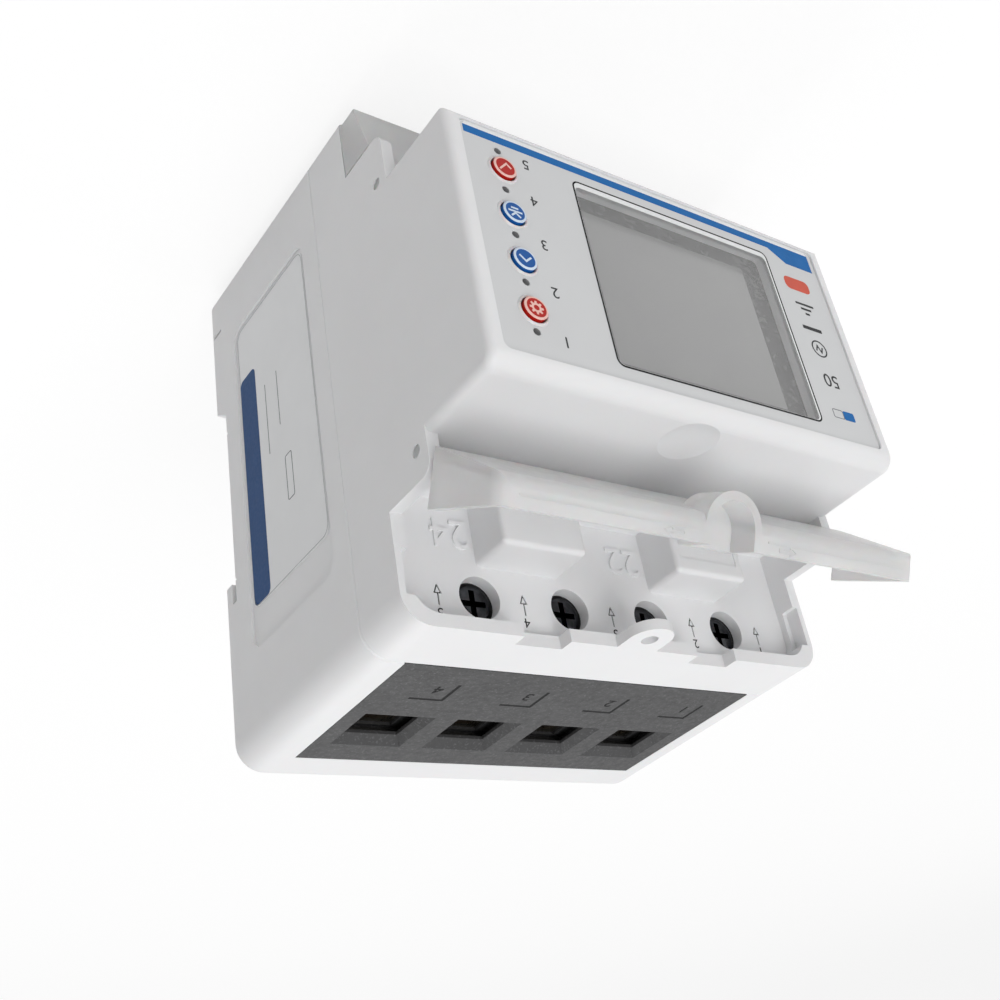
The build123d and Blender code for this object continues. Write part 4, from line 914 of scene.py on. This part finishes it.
class MONITOR_OT_stage(bpy.types.Operator):
    """Set the floor, the soft lamps, the world and the camera"""

    bl_idname = "monitor.stage"
    bl_label = "Stage"

    def execute(self, context):
        scene = context.scene
        tone = tuple(scene.monitor_colours.floor)
        made = bpy.data.materials.new("floor_paper_white")
        made.use_nodes = True
        tree = made.node_tree
        tree.nodes.clear()
        # Matt white paper: it takes the object's shadow, and the camera sees mostly plain white of it.
        rays = add_node(tree, "ShaderNodeLightPath").outputs
        seen = rays["Is Camera Ray"]
        for other in ("Is Glossy Ray", "Is Transmission Ray"):
            seen = add_node(tree, "ShaderNodeMath", {0: seen, 1: rays[other]}, operation="MAXIMUM").outputs[0]
        share = add_node(tree, "ShaderNodeMath", {0: seen, 1: WHITE_SHARE}, operation="MULTIPLY")
        place = add_node(tree, "ShaderNodeTexCoord").outputs["Object"]
        paper = add_node(tree, "ShaderNodeMix", {0: clouds(tree, place, PAPER_CLOUD), 6: tone,
                                                 7: shade(tone, 0.99)}, data_type="RGBA").outputs[2]
        matt = add_node(tree, "ShaderNodeBsdfDiffuse", {"Color": paper})
        white = add_node(tree, "ShaderNodeEmission", {"Color": (1, 1, 1, 1), "Strength": WHITE_STRENGTH})
        both = add_node(tree, "ShaderNodeMixShader", {0: share.outputs[0], 1: matt.outputs[0],
                                                      2: white.outputs[0]})
        tree.links.new(both.outputs[0], add_node(tree, "ShaderNodeOutputMaterial").inputs[0])

        # The floor is level under the monitor. Beyond a radius it rises with the square of the way past it.
        columns, rows = FLOOR_POINTS
        across, along = np.meshgrid(np.linspace(-FLOOR_HALF, FLOOR_HALF, columns),
                                    np.linspace(-FLOOR_HALF, FLOOR_HALF, rows))
        rise = np.clip(np.hypot(across, along) - FLOOR_FLAT, 0, None) ** 2 * FLOOR_CURVE
        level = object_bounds()[0][2]
        points = np.stack([across, along, level + rise], axis=-1).reshape(-1, 3)
        row, column = np.meshgrid(np.arange(rows - 1), np.arange(columns - 1), indexing="ij")
        corner = row * columns + column
        faces = np.stack([corner, corner + 1, corner + columns + 1, corner + columns], axis=-1)
        mesh = bpy.data.meshes.new("floor")
        mesh.from_pydata(points.tolist(), [], faces.reshape(-1, 4).tolist())
        mesh.materials.append(made)
        mesh.shade_smooth()
        floor = bpy.data.objects.new("floor", mesh)
        scene.collection.objects.link(floor)
        floor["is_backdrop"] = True

        for name, (place, size, power) in LAMPS.items():
            light = bpy.data.lights.new(name, "AREA")
            light.size, light.energy = size, power
            lamp = bpy.data.objects.new(name, light)
            lamp.location = place
            lamp.rotation_euler = (-lamp.location.normalized()).to_track_quat("-Z", "Y").to_euler()
            scene.collection.objects.link(lamp)

        world = bpy.data.worlds.new("studio")
        world.use_nodes = True
        sky = world.node_tree.nodes["Background"]
        rays = add_node(world.node_tree, "ShaderNodeLightPath").outputs
        strength = add_node(world.node_tree, "ShaderNodeMapRange",
                            {"Value": rays["Is Camera Ray"], "To Min": WORLD_LIGHT, "To Max": WORLD_SEEN})
        sky.inputs["Color"].default_value = (1, 1, 1, 1)
        world.node_tree.links.new(strength.outputs[0], sky.inputs["Strength"])
        scene.world = world

        # The photograph was turned upside-down, so the camera is rolled.
        view = bpy.data.cameras.new("camera")
        view.sensor_width, view.lens = CAMERA_SENSOR, CAMERA_LENS
        view.shift_x, view.shift_y = CAMERA_SHIFT
        view.clip_start, view.clip_end = CAMERA_CLIP
        camera = bpy.data.objects.new("camera", view)
        camera.location = CAMERA_PLACE
        camera.rotation_euler = [math.radians(a) for a in CAMERA_TURN]
        scene.collection.objects.link(camera)
        scene.camera = camera
        scene.view_settings.view_transform = "Standard"
        return {"FINISHED"}


STEPS = (MONITOR_OT_finishes, MONITOR_OT_clip_spring, MONITOR_OT_panel_print, MONITOR_OT_buttons,
         MONITOR_OT_display, MONITOR_OT_side_label, MONITOR_OT_marks, MONITOR_OT_cover_lines,
         MONITOR_OT_stage)


class MONITOR_PT_sidebar(bpy.types.Panel):
    """Lists the steps, sizes and colours in the 3D view's sidebar"""

    bl_idname = "MONITOR_PT_sidebar"
    bl_label = "Energy monitor"
    bl_space_type = "VIEW_3D"
    bl_region_type = "UI"
    bl_category = "Energy monitor"

    def draw(self, context):
        for step in STEPS:
            self.layout.operator(step.bl_idname)
        for group in (context.scene.monitor_sizes, context.scene.monitor_colours):
            for name in type(group).__annotations__:
                self.layout.prop(group, name)


CLASSES = (MonitorSizes, MonitorColours, *STEPS, MONITOR_PT_sidebar)


def register():
    """Registers the classes and hangs the settings on the scene."""
    for each in CLASSES:
        bpy.utils.register_class(each)
    bpy.types.Scene.monitor_sizes = PointerProperty(type=MonitorSizes)
    bpy.types.Scene.monitor_colours = PointerProperty(type=MonitorColours)


def unregister():
    """Takes the settings and the classes away again."""
    del bpy.types.Scene.monitor_colours
    del bpy.types.Scene.monitor_sizes
    for each in reversed(CLASSES):
        bpy.utils.unregister_class(each)


def main():
    """Dresses the frame step by step."""
    register()
    for step in STEPS:
        group, name = step.bl_idname.split(".")
        getattr(getattr(bpy.ops, group), name)()


if __name__ == "__main__":
    main()
